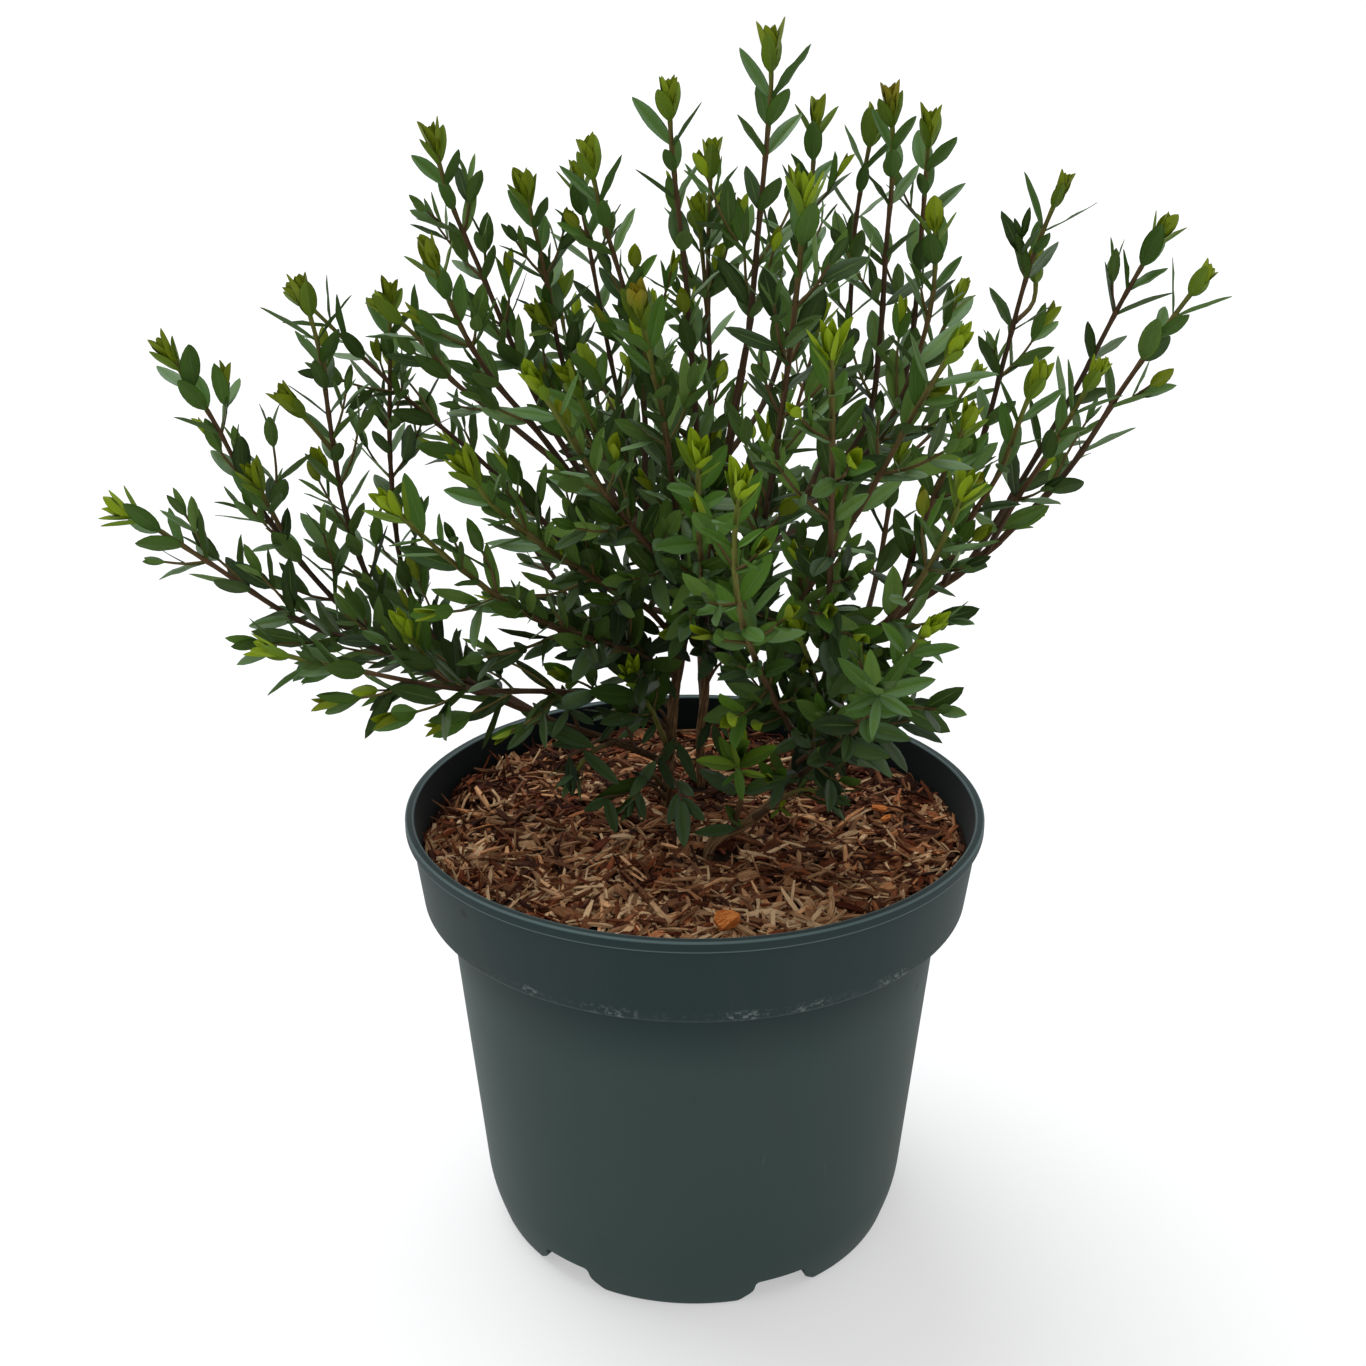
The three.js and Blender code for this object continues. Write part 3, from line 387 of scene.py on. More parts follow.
# Small sprouts near the mulch: the stem or limb that each grows on, at what share, how young its leaves are,
# picks, and its leaves, as (share of the sprout, and pixel x, pixel y and depth of the leaf's end)
LOW_SPROUTS = [
    ("west", 0.62, 0, [(548, 716, -4), (540, 720, -10), (534, 724, -14)], [(0.95, 507, 748, -22),
     (0.9, 602, 747, -18), (0.6, 552, 692, -12), (0.8, 522, 712, -16)]),
    ("west", 0.36, 0, [(592, 744, -8), (578, 752, -14), (568, 756, -18)], [(0.98, 573, 796, -26),
     (0.7, 619, 785, -20), (0.5, 552, 744, -16)]),
    ("west", 0.2, 0.1, [(628, 730, 0), (618, 716, -8)], [(0.95, 600, 742, -14), (0.9, 636, 692, -12),
     (0.7, 594, 708, -12)]),
    ("west", 0.46, 0, [(574, 716, -6), (568, 708, -12)], [(0.95, 552, 738, -18), (0.9, 594, 724, -16),
     (0.95, 562, 686, -14)]),
    ("main", 0.16, 0, [(650, 785, 8), (625, 794, -4), (604, 798, -12)], [(0.97, 616, 832, -22),
     (0.95, 584, 812, -20), (0.6, 644, 816, -14)]),
    ("main", 0.24, 0.05, [(664, 752, 8), (656, 761, -2)], [(0.95, 629, 797, -10), (0.9, 674, 790, -8)]),
    ("main", 0.14, 0.14, [(674, 780, 6), (679, 792, -6), (682, 800, -14)], [(0.97, 684, 846, -30),
     (0.9, 705, 822, -20), (0.8, 668, 824, -18), (0.5, 694, 796, -8)]),
    ("main", 0.28, 0, [(676, 738, 12), (676, 743, 6)], [(0.9, 696, 783, 0), (0.8, 658, 766, 4)]),
    ("main", 0.34, 0, [(655, 722, 12), (640, 722, 10)], [(0.95, 618, 738, 6), (0.7, 642, 744, 6)]),
    ("main", 0.42, 0.5, [(662, 712, 10), (646, 705, -4)], [(0.97, 623, 698, -8), (0.97, 643, 729, -10),
     (0.9, 669, 701, -6), (0.95, 653, 683, -6)]),
    ("main", 0.54, 0, [(662, 672, 8), (654, 668, 2)], [(0.95, 620, 652, -2), (0.9, 632, 698, -6),
     (0.7, 676, 700, 0)]),
    ("main", 0.66, 0.1, [(668, 640, 6), (660, 634, 0)], [(0.95, 628, 612, -4), (0.9, 640, 668, -6),
     (0.8, 682, 602, -2), (0.6, 690, 660, -4)]),
    ("second", 0.49, 0, [(716, 668, 26), (722, 662, 22)], [(0.95, 756, 648, 18), (0.9, 738, 696, 16),
     (0.7, 702, 634, 20)]),
    ("second", 0.62, 0, [(700, 632, 20), (694, 626, 16)], [(0.95, 676, 594, 12), (0.9, 704, 660, 8),
     (0.7, 728, 606, 12)]),
    ("second", 0.24, 0, [(710, 722, 36), (714, 724, 32)], [(0.95, 723, 758, 28), (0.8, 697, 750, 30)]),
    ("second", 0.3, 0, [(722, 712, 36), (736, 710, 34)], [(0.95, 754, 726, 30), (0.6, 728, 738, 32),
     (0.95, 747, 692, 34)]),
    ("low", 0.2, 0.1, [(742, 826, -26), (736, 829, -28)], [(0.95, 694, 834, -30), (0.8, 722, 806, -36)]),
    ("low", 0.38, 0.95, [(777, 808, -10), (780, 808, -12)], [(0.95, 791, 817, -14), (0.9, 771, 819, -14),
     (0.9, 787, 800, -12)]),
    ("low", 0.5, 0, [(803, 758, 4), (812, 762, 0)], [(0.95, 824, 793, -6), (0.8, 799, 797, -4)]),
    ("low", 0.58, 0, [(806, 735, 4), (801, 740, 2)], [(0.95, 794, 778, -4), (0.8, 773, 753, -2),
     (0.9, 818, 770, 0)]),
    ("low", 0.64, 0, [(822, 728, 4), (827, 740, 0), (829, 746, -4)], [(0.97, 847, 780, -10),
     (0.8, 810, 764, -6), (0.7, 854, 742, -4)]),
    ("low", 0.7, 0, [(812, 694, 8), (803, 701, 2)], [(0.95, 815, 749, -4), (0.8, 784, 731, -2),
     (0.6, 830, 722, 2)]),
]
LOW_FLOOR = 171.5
LOW_LEAF_LENGTHS = (4, 24)
LOW_SEED = 90000

# Shoots that point at the photo's camera end in a star of leaves: the share where they end, how young the
# leaves are, and the leaves as above
STARS = {
    43: (0.72, 0.62, [(1, 742, 715, -60), (1, 780, 747, -62), (1, 742, 801, -62), (1, 694, 762, -60),
         (0.94, 766, 778, -56), (0.94, 718, 736, -54), (0.94, 722, 786, -58), (1, 752, 741, -72),
         (1, 730, 748, -72)]),
    41: (0.97, 0.18, [(1, 836, 658, -142), (1, 846, 709, -150), (1, 872, 738, -150), (1, 912, 716, -150),
         (1, 936, 680, -142), (0.94, 912, 652, -132), (0.94, 870, 650, -134), (1, 868, 684, -160),
         (1, 893, 676, -160)]),
}
STAR_CLEARANCE = 15

# Colours of the leaves, from old to young, and of their undersides, with a painted sheen for faces that look
# up and a painted shade line along the margins
LEAF_OLD_COLOURS = [(0.1, (0.009, 0.022, 0.002)), (0.5, (0.047, 0.096, 0.009)), (0.9, (0.118, 0.205, 0.036))]
LEAF_FRESH_COLOUR = (0.052, 0.125, 0.01)
LEAF_YOUNG_COLOURS = [(0.125, 0.155, 0.003), (0.215, 0.3, 0.005)]
LEAF_TIP_COLOUR = (0.28, 0.18, 0.01)
LEAF_UNDER_COLOUR = (0.062, 0.105, 0.03)
LEAF_RIB_COLOUR = (0.12, 0.2, 0.05)
LEAF_EDGE_SHADE_COLOUR = (0.009, 0.02, 0.003)
LEAF_PAINTED_SHEEN_COLOUR = (0.112, 0.19, 0.105)
LEAF_ROUGHNESS = 0.4
LEAF_SHINE = 0.12
LEAF_GLOW = 0.1

# Colours of the twigs from green tips to woody roots, and of the bark, which is darker on limbs and high up
TWIG_COLOURS = [
    (0, (0.105, 0.12, 0.02)),
    (0.16, (0.086, 0.07, 0.02)),
    (0.4, (0.072, 0.04, 0.018)),
    (1, (0.037, 0.022, 0.012)),
]
BARK_COLOURS = [(0.3, (0.035, 0.02, 0.01)), (0.52, (0.115, 0.066, 0.03)), (0.75, (0.26, 0.17, 0.085))]
BARK_LIMB_COLOUR = (0.026, 0.015, 0.009)
BARK_LOW_Z = 185
BARK_HIGH_Z = 250

# Colours of the chips, from dark bark to pale wood fibre, with orange for the bright chips at the end, and
# the painted shade of chips that lie under others
CHIP_COLOURS = [
    (0, (0.018, 0.005, 0.002)),
    (0.18, (0.046, 0.013, 0.006)),
    (0.38, (0.11, 0.038, 0.016)),
    (0.56, (0.195, 0.086, 0.039)),
    (0.76, (0.36, 0.206, 0.102)),
    (0.93, (0.55, 0.385, 0.225)),
    (1, (0.56, 0.2, 0.05)),
]
CHIP_RED_COLOUR = (0.3, 0.07, 0.012)
CHIP_WARM_COLOUR = (1, 0.35, 0.12)
CHIP_GREY_COLOUR = (0.09, 0.065, 0.05)
CHIP_GAP_SHADE_COLOUR = (0.01, 0.0035, 0.0015)
CHIP_PALEST = 0.95
CHIP_RAMP_END = 0.94
CHIP_BRIGHT = 0.985
BED_COLOURS = [(0.3, (0.006, 0.004, 0.003)), (0.7, (0.03, 0.016, 0.011))]
BED_CRUMBS = 600
SOIL_COLOURS = [(0.3, (0.01, 0.006, 0.004)), (0.7, (0.04, 0.024, 0.015))]
SOIL_CRUMBS = 700

# Colours of the container's plastic, its body painted lighter than its collar and its inside painted dark as
# shade. Its moulded edges, as (radius, height), get painted highlight lines
POT_COLLAR_COLOUR = (0.008, 0.021, 0.021)
POT_BODY_PAINTED_LIGHTER_COLOUR = (0.022, 0.042, 0.038)
POT_DUST_COLOUR = (0.035, 0.042, 0.038)
POT_EDGE_HIGHLIGHT_COLOUR = (0.07, 0.105, 0.105)
POT_INSIDE_SHADE_COLOUR = (0.002, 0.004, 0.004)
POT_SCUFF_COLOUR = (0.3, 0.34, 0.32)
POT_SPECK_COLOUR = (0.002, 0.004, 0.004)
POT_HIGHLIGHT_EDGES = [(109.2, 176.9), (112.4, 176.9), (112.3, 172.8)]
POT_ROUGHNESS = 0.66
POT_SHINE = 0.2
POT_INSIDE_SHINE = 0.08

# Where the collar's lower edge is scuffed: the middle and the reach of each patch, in degrees from the front
POT_SCUFFS = [(-33, 2.5), (-16, 7), (9, 6), (22, 5), (41, 6), (95, 12), (150, 5), (-80, 8), (-140, 14)]
POT_SCUFF_FLOOR = 0.12


def draw(a, b):
    """A repeatable draw between 0 and 1 for item a, quality b."""
    wave = math.sin(a * 12.9898 + b * 78.233) * 43758.5453
    return wave - math.floor(wave)


def draw_between(span, a, b):
    """A draw within a span."""
    return span[0] + (span[1] - span[0]) * draw(a, b)


def share(value, start, end):
    """How far a value has come from a start to an end, from 0 to 1."""
    return np.clip((value - start) / (end - start), 0, 1)


def unit(vectors):
    """Vectors at length 1."""
    return vectors / np.linalg.norm(vectors, axis=-1, keepdims=True)


def layers(shape, *values):
    """Values that hold for all, some or one of the points, side by side for each point."""
    return np.stack([np.broadcast_to(value, shape) for value in values], axis=-1)


def circle(radii, segments):
    """The x and y of evenly spaced points on circles."""
    angles = 2 * math.pi * np.arange(segments) / segments
    radii = np.asarray(radii)[..., None]
    return radii * np.cos(angles), radii * np.sin(angles)


def place_of(pick, floor=-math.inf):
    """The place of a picked pixel at a depth, brought towards the camera until it is over a floor."""
    pixel_x, pixel_y, depth = pick
    across = (pixel_x - PHOTO_CENTRE) / PHOTO_FOCAL
    rise = (PHOTO_CENTRE - pixel_y) / PHOTO_FOCAL
    level, drop = math.cos(PHOTO_PITCH), math.sin(PHOTO_PITCH)
    ray = np.array([across, level + rise * drop, rise * level - drop])
    place = PHOTO_CAMERA + ray * (depth - PHOTO_CAMERA[1]) / ray[1]
    if place[2] < floor:
        nearer = (floor - PHOTO_CAMERA[2]) / (place[2] - PHOTO_CAMERA[2])
        place = PHOTO_CAMERA + nearer * (place - PHOTO_CAMERA)
    return place


def curve_stretch(four, steps=48):
    """Places on a centripetal Catmull-Rom curve between the middle two of four points."""
    before, start, end, after = four
    first, middle, last = np.linalg.norm(np.diff(four, axis=0), axis=1) ** 0.5
    leave = middle * ((start - before) / first - (end - before) / (first + middle) + (end - start) / middle)
    arrive = middle * ((end - start) / middle - (after - start) / (middle + last) + (after - end) / last)
    t = np.linspace(0, 1, steps, endpoint=False)[:, None]
    square = -3 * start + 3 * end - 2 * leave - arrive
    cube = 2 * start - 2 * end + leave + arrive
    return start + leave * t + square * t**2 + cube * t**3


class Route:
    """A smooth curve through points, measured along its length, that tapers from its root to its tip."""

    dense = False

    def __init__(self, points, radii, reach=0, twist=0):
        line = np.array(points, float)
        line = np.vstack([2 * line[0] - line[1], line, 2 * line[-1] - line[-2]])
        stretches = [curve_stretch(line[i : i + 4]) for i in range(len(line) - 3)]
        self.samples = np.vstack(stretches + [line[-2:-1]])
        steps = np.linalg.norm(np.diff(self.samples, axis=0), axis=1)
        self.lengths = np.concatenate([[0], np.cumsum(steps)])
        self.full = self.lengths[-1]
        self.length = self.full - reach
        self.radii = radii
        self.twist = twist

    def at(self, s):
        """Places at arc lengths."""
        return np.stack([np.interp(s, self.lengths, self.samples[:, axis]) for axis in range(3)], axis=-1)

    def radius(self, s):
        """Radii at arc lengths."""
        root, tip = self.radii
        return root + (tip - root) * share(s, 0, self.length)

    def axes(self, s, reach=0.4):
        """Directions at arc lengths, with their side and back axes."""
        along = unit(self.at(np.minimum(s + reach, self.full)) - self.at(np.maximum(s - reach, 0)))
        side = unit(np.stack([-along[..., 2], 0 * along[..., 1], along[..., 0]], axis=-1))
        return along, side, np.cross(side, along)

    def outward(self, s, turn_deg):
        """The directions along the route and out of its side, at an arc length and a turn."""
        along, side, back = self.axes(s)
        turn = math.radians(turn_deg)
        return along, side * math.cos(turn) + back * math.sin(turn)


def branch(parent, at, picks, radii, reach=0, twist=0, floor=-math.inf):
    """A route that forks from another at a share of its length and belongs to the same stem."""
    root = parent.at(at * parent.full)
    made = Route([root] + [place_of(pick, floor) for pick in picks], radii, reach, twist)
    made.stem = parent.stem
    return made


def wood_routes():
    """Routes of the woody stems and limbs, by name, with the stem that each belongs to."""
    routes = {}
    for name, (x, y), radii, picks in STEMS:
        rooted = [np.array([x, y, z]) for z in (STEM_HOLE_Z, MULCH_MIDDLE_Z)]
        routes[name] = Route(rooted + [place_of(pick) for pick in picks], radii)
        routes[name].stem = name
    for name, on, at, radii, picks in LIMBS:
        routes[name] = branch(routes[on], at, picks, radii)
    return routes


def shoot_routes(wood):
    """Routes of the leafy shoots, each with the route of its sprig if it has one."""
    routes = []
    for index, (on, at, picks, *sprig) in enumerate(SHOOTS):
        twist = ASKEW_TWIST + 6 * (index % 5) if index + 1 in ASKEW_SHOOTS else 360 * draw(index, 7)
        route = branch(wood[on], at, picks, SHOOT_RADII, TIP_REACH, twist)
        route.index = index
        route.name = f"shoot_{index + 1:02d}"
        route.dense = index + 1 in DENSE_SHOOTS
        route.sprigs = [branch(route, *sprig, SPRIG_RADII, TIP_REACH, twist)] if sprig else []
        routes.append(route)
    return routes


class Crowd:
    """Spheres that stand for stems and leaves, so that a new leaf keeps off what belongs to another shoot."""

    def __init__(self):
        self.centres = np.zeros((CROWD_LIMIT, 3))
        self.radii = np.zeros(CROWD_LIMIT)
        self.owners = np.zeros(CROWD_LIMIT, int)
        self.count = 0

    def add(self, owner, centres, radii):
        """Adds an owner's spheres."""
        end = self.count + len(centres)
        self.centres[self.count : end] = centres
        self.radii[self.count : end] = radii
        self.owners[self.count : end] = owner
        self.count = end

    def add_stem(self, owner, route):
        """Adds the spheres of a stem."""
        s = np.arange(SPUR_LENGTH, route.length, 2)
        self.add(owner, route.at(s), route.radius(s))

    def is_clear(self, owner, centres, radii, ease):
        """Whether spheres stay above the mulch and the rim, and off every other owner's."""
        over_rim = np.hypot(centres[:, 0], centres[:, 1]) > RIM_CLEAR_RADIUS
        if np.any(centres[:, 2] - radii < np.where(over_rim, POT_HEIGHT + 1, LEAF_FLOOR)):
            return False
        others = self.owners[: self.count] != owner
        apart = np.linalg.norm(self.centres[: self.count][others] - centres[:, None], axis=-1)
        needed = ease * (self.radii[: self.count][others] + radii[:, None]) + GAP
        return not np.any(apart < needed)


def leaf_pose(route, s, turn_deg, tilt_deg, roll_deg, length):
    """A leaf's place: where it starts on its stem, its axis and face, and its length."""
    along, outward = route.outward(s, turn_deg)
    tilt, roll = math.radians(tilt_deg), math.radians(roll_deg)
    axis = along * math.cos(tilt) + outward * math.sin(tilt)
    face = along * math.sin(tilt) - outward * math.cos(tilt)
    face = face * math.cos(roll) + np.cross(axis, face) * math.sin(roll)
    return {"base": route.at(s) + LEAF_OUTSET * outward, "axis": axis, "face": face, "length": length}


def leaf_pairs(route, seed, bare_length):
    """The leaf pairs of a route from the tip down to the bare wood. Each pair crosses the one below it."""
    full = tip_fullness(route)
    spots = [(route.length - back, tilt, size * full) for back, tilt, size in TIP_PAIRS]
    s = route.length - FIRST_PAIR_BACK
    while s > bare_length:
        spots.append((s, PAIR_TILT, 1))
        s -= PAIR_PITCH
    spots = list(enumerate(spots))
    for more in range(len(spots) - 4):
        if more == 0 or route.dense:
            s = route.length - MORE_PAIR_BACK - PAIR_PITCH * more
            spots.append((MORE_PAIR_K + more, (s, PAIR_TILT, MORE_PAIR_SIZE)))
    pairs = []
    for k, (s, tilt, size) in spots:
        size = size * (1 - FRONT_SMALLER * frontness(route.at(s)))
        pairs.append({
            "k": k,
            "s": s,
            "seed": seed + k,
            "turn": route.twist + PAIR_TURN * k + draw_between(TURN_STRAY, seed + k, 8),
            "tilt": tilt * draw_between(TILT_STRAY, seed + k, 9),
            "size": size * draw_between(SIZE_STRAY, seed + k, 10),
        })
    return pairs


def tip_fullness(route):
    """How big the leaves of a tip are: least on the right of the bush."""
    right = share(route.samples[-1, 0], *RIGHT_SPAN)
    return draw_between(TIP_FULLNESS, route.twist, 14) * (1 - TIP_RIGHT_LESS * right)


def tip_nearness(route):
    """How low or how near the camera a tip is, from 0 to 1."""
    place = route.at(route.full)
    return max(float(share(place[2], *LOW_TIP_SPAN)), frontness(place))


def bud_leaves(route, seed):
    """The inner pairs at a tip. Low and near tips are more open, with slimmer leaves."""
    leaves = []
    full = tip_fullness(route)
    near = tip_nearness(route)
    for number, (back, tilt, size, more_turn) in enumerate(TIP_BUDS):
        for half in (0, 180):
            turn = route.twist - PAIR_TURN + half + more_turn
            open_tilt = tilt * (1 + TIP_FLARE * near)
            leaf = leaf_pose(route, route.length - back, turn, open_tilt, 0, LEAF_LENGTH * size * full)
            leaf["seed"] = 2 * seed - 1 - half / 180 - 2 * number
            leaf["slim"] = 1 - TIP_SLIM * near
            leaves.append(leaf)
    return leaves


def frontness(place):
    """How far in front a place is, from 0 at the middle of the bush to 1 at its near side."""
    return float(share(place[1], *FRONT_SPAN))


def tip_tint(shoot, seed):
    """The tint of a tip's leaf: reddish on a few shoots, olive on high ones, lime on low and near ones."""
    if shoot.index + 1 in BLUSHED_SHOOTS:
        return 0
    by_shoot, by_leaf = TIP_TINT_STRAYS
    tint = TIP_TINT + by_shoot * draw(shoot.index, 15) + TIP_NEAR_LIMIER * tip_nearness(shoot)
    return tint + by_leaf * draw(seed, 16)


def bush_depth(places):
    """How deep places lie in the bush, from 0 at its shell to 1 in its middle."""
    return share(np.linalg.norm((places - BUSH_MIDDLE) / BUSH_REACH, axis=-1), *DEPTH_SPAN)


def painted_leaf_shade(places):
    """How much painted shade darkens leaves: more the deeper they stand in the bush, and most of all low
    down.
    """
    return bush_depth(places) * (1 - SHADE_HIGH_LESS * share(places[..., 2], *HIGH_SPAN))


def clear_pair(route, owner, pair, crowd, ease):
    """The leaves of a pair, each turned as little as keeps it off its neighbours, or left out."""
    leaves = []
    for half in (0, 180):
        length = LEAF_LENGTH * pair["size"] * draw_between(LENGTH_STRAY, pair["seed"], 11 + half)
        roll = draw_between(ROLL_STRAY, pair["seed"], 12 + half)
        for more in CLEAR_TURNS:
            leaf = leaf_pose(route, pair["s"], pair["turn"] + half + more, pair["tilt"], roll, length)
            centres = leaf["base"] + leaf["axis"] * (CLEAR_STATIONS * length)[:, None]
            radii = LEAF_HALF_WIDTH * length * CLEAR_SLIM + CLEAR_MORE
            if crowd.is_clear(owner, centres, radii, ease):
                crowd.add(owner, centres, radii)
                leaf["seed"] = 2 * pair["seed"] + half / 180
                leaves.append(leaf)
                break
    return leaves


def youth_of(k, shoot):
    """How young the leaves of pair k on a shoot are."""
    young = YOUTH[int(k)] if k < len(YOUTH) else 0
    fresh = FRESH_SHOOTS.get(shoot.index + 1, FRESH_STRAY * draw(shoot.index, 21))
    dull = DULLNESS if shoot.index + 1 in DULL_SHOOTS else 1
    return dull * max(young, fresh * (1 if k < FRESH_PAIRS else 0.5))


def side_twig(route, pair, half):
    """The side twig in the axil of a leaf."""
    seed = pair["seed"]
    along, outward = route.outward(pair["s"], pair["turn"] + half)
    lean = math.radians(SIDE_LEAN * draw_between(TILT_STRAY, seed, 32 + half))
    length = draw_between(SIDE_LENGTH, seed, 31 + half)
    length = min(length, SIDE_SHARE_OF_TIP * (route.length - pair["s"]))
    line = [route.at(pair["s"])]
    for angle in (lean, SIDE_STRAIGHTEN * lean):
        line.append(line[-1] + 0.5 * length * (along * math.cos(angle) + outward * math.sin(angle)))
    return Route(line, SIDE_RADII, 0, 360 * draw(seed, 33 + half))


def small_pairs(route, seed, size, bright):
    """The small leaf pairs of a side twig, from its tip down."""
    pairs = []
    for k in range(1 + int((route.full - 3) // SIDE_PITCH)):
        tilt, part = SIDE_TIPS[k] if k < len(SIDE_TIPS) else (SIDE_TILT, 1)
        pairs.append({
            "s": route.full - 0.6 - SIDE_PITCH * k * (0.7 if k == 1 else 1),
            "seed": seed + k,
            "turn": route.twist + 90 * k + draw_between(TURN_STRAY, seed + k, 8),
            "tilt": tilt * draw_between(TILT_STRAY, seed + k, 9),
            "size": size * part,
            "young": max(0, bright * (1 - 0.45 * k)),
        })
    return pairs


def set_out_leaves(shoot):
    """Gives a shoot its rows of leaf pairs, and the leaves of its tips or of its star."""
    seed = 100 * (shoot.index + 1)
    shoot.rows = [(shoot, leaf_pairs(shoot, seed, BARE_LENGTH))]
    shoot.rows += [(sprig, leaf_pairs(sprig, seed + 50, SPRIG_BARE_LENGTH)) for sprig in shoot.sprigs]
    shoot.small_leaves = []
    shoot.side_twigs = []
    if shoot.index + 1 in STARS:
        at, young, tips = STARS[shoot.index + 1]
        shoot.length = at * shoot.full
        pairs = [pair for pair in shoot.rows[0][1] if pair["s"] < shoot.length - STAR_CLEARANCE]
        shoot.rows = [(shoot, pairs)]
        shoot.leaves = picked_leaves(shoot, tips, seed, young)
        return
    shoot.leaves = [leaf for route, pairs in shoot.rows for leaf in bud_leaves(route, pairs[0]["seed"])]
    for leaf in shoot.leaves:
        leaf["young"] = youth_of(0, shoot)
        leaf["tint"] = tip_tint(shoot, leaf["seed"])


def grow_pair(shoot, route, pair, crowd, ease):
    """Adds a leaf pair to a shoot."""
    for leaf in clear_pair(route, shoot.index, pair, crowd, ease):
        leaf["young"] = youth_of(pair["k"], shoot)
        if pair["k"] < 2:
            leaf["tint"] = tip_tint(shoot, leaf["seed"])
            leaf["slim"] = 1 - TIP_SLIM * tip_nearness(route)
        shoot.leaves.append(leaf)


def grow_shoots(wood, shoots):
    """The leaves and side twigs of every shoot, kept off each other."""
    crowd = Crowd()
    for number, route in enumerate(wood.values()):
        crowd.add_stem(len(shoots) + number, route)
    for shoot in shoots:
        for route in [shoot] + shoot.sprigs:
            crowd.add_stem(shoot.index, route)
    for shoot in shoots:
        set_out_leaves(shoot)
    for odd, ease in ((0, 1), (1, MORE_EASE)):
        for shoot in shoots:
            for route, pairs in shoot.rows:
                for pair in reversed([pair for pair in pairs if math.ceil(pair["k"]) % 2 == odd]):
                    grow_pair(shoot, route, pair, crowd, ease)
    for shoot in shoots:
        for route, pairs in shoot.rows:
            grow_side_twigs(shoot, route, pairs, crowd)


def side_chance(place):
    """How likely a side twig is: more so deep in the bush and on its left, and least low on its right."""
    low, high = SIDE_CHANCE
    left = np.clip(-place[0] / SIDE_LEFT_REACH, *SIDE_LEFT_LIMITS)
    low_right = share(place[0], *SIDE_RIGHT_SPAN) * share(place[2], *SIDE_LOW_SPAN)
    chance = low + (high - low) * bush_depth(place) + SIDE_LEFT_MORE * left
    return chance - SIDE_LOW_RIGHT_LESS * low_right


def grow_side_twigs(shoot, route, pairs, crowd):
    """Adds side twigs to some of the axils of a route."""
    back = SIDE_BACK if route is shoot else SIDE_SPRIG_BACK
    axils = [pair for pair in pairs if route.length - pair["s"] >= back and pair["k"] % 1 == 0]
    for pair, half in [(pair, half) for pair in axils for half in (0, 180)]:
        place = route.at(pair["s"])
        if draw(pair["seed"], 30 + half) > side_chance(place):
            continue
        twig = side_twig(route, pair, half)
        seed = SIDE_SEED + 40 * pair["seed"] + 8 * (half // 180)
        size = draw_between(SIDE_LEAF_SIZE, seed, 34) * (1 + SIDE_DEEP_MORE * bush_depth(place))
        bright = 0.95 if draw(seed, 35) / SIDE_BRIGHT_SHARE < 1 else 0.3 * draw(seed, 36)
        owner = 1000 + len(shoot.side_twigs) + 50 * shoot.index
        grown = []
        for small in small_pairs(twig, seed, size, bright):
            for leaf in clear_pair(twig, owner, small, crowd, SIDE_EASE):
                grown.append({**leaf, "young": small["young"]})
        if grown:
            shoot.side_twigs.append(twig)
            shoot.small_leaves += grown


def picked_leaves(route, tips, seed, young):
    """Leaves that run from places along a route to picked tips, and face up towards the camera."""
    leaves = []
    for number, (at, *tip) in enumerate(tips):
        base = route.at(at * route.length)
        reach = place_of(tip, LOW_FLOOR) - base
        axis = unit(reach)
        face = unit(PHOTO_CAMERA - base) + np.array([0.5 * draw(seed, number) - 0.25, 0, 0.5])
        leaves.append({
            "base": base,
            "axis": axis,
            "face": unit(face - axis * (face @ axis)),
            "length": float(np.clip(np.linalg.norm(reach), *LOW_LEAF_LENGTHS)),
            "seed": seed + number,
            "young": young * (0.75 + 0.4 * draw(seed + number, 52)),
            "slim": PICKED_SLIM,
        })
    return leaves


def low_sprouts(wood):
    """The routes and leaves of the sprouts near the mulch."""
    routes, leaves = [], []
    for number, (on, at, young, picks, tips) in enumerate(LOW_SPROUTS):
        route = branch(wood[on], at, picks, SPROUT_RADII, 0, 360 * draw(number, 51), LOW_FLOOR)
        routes.append(route)
        leaves += picked_leaves(route, tips, LOW_SEED + 20 * number, young)
    return routes, leaves


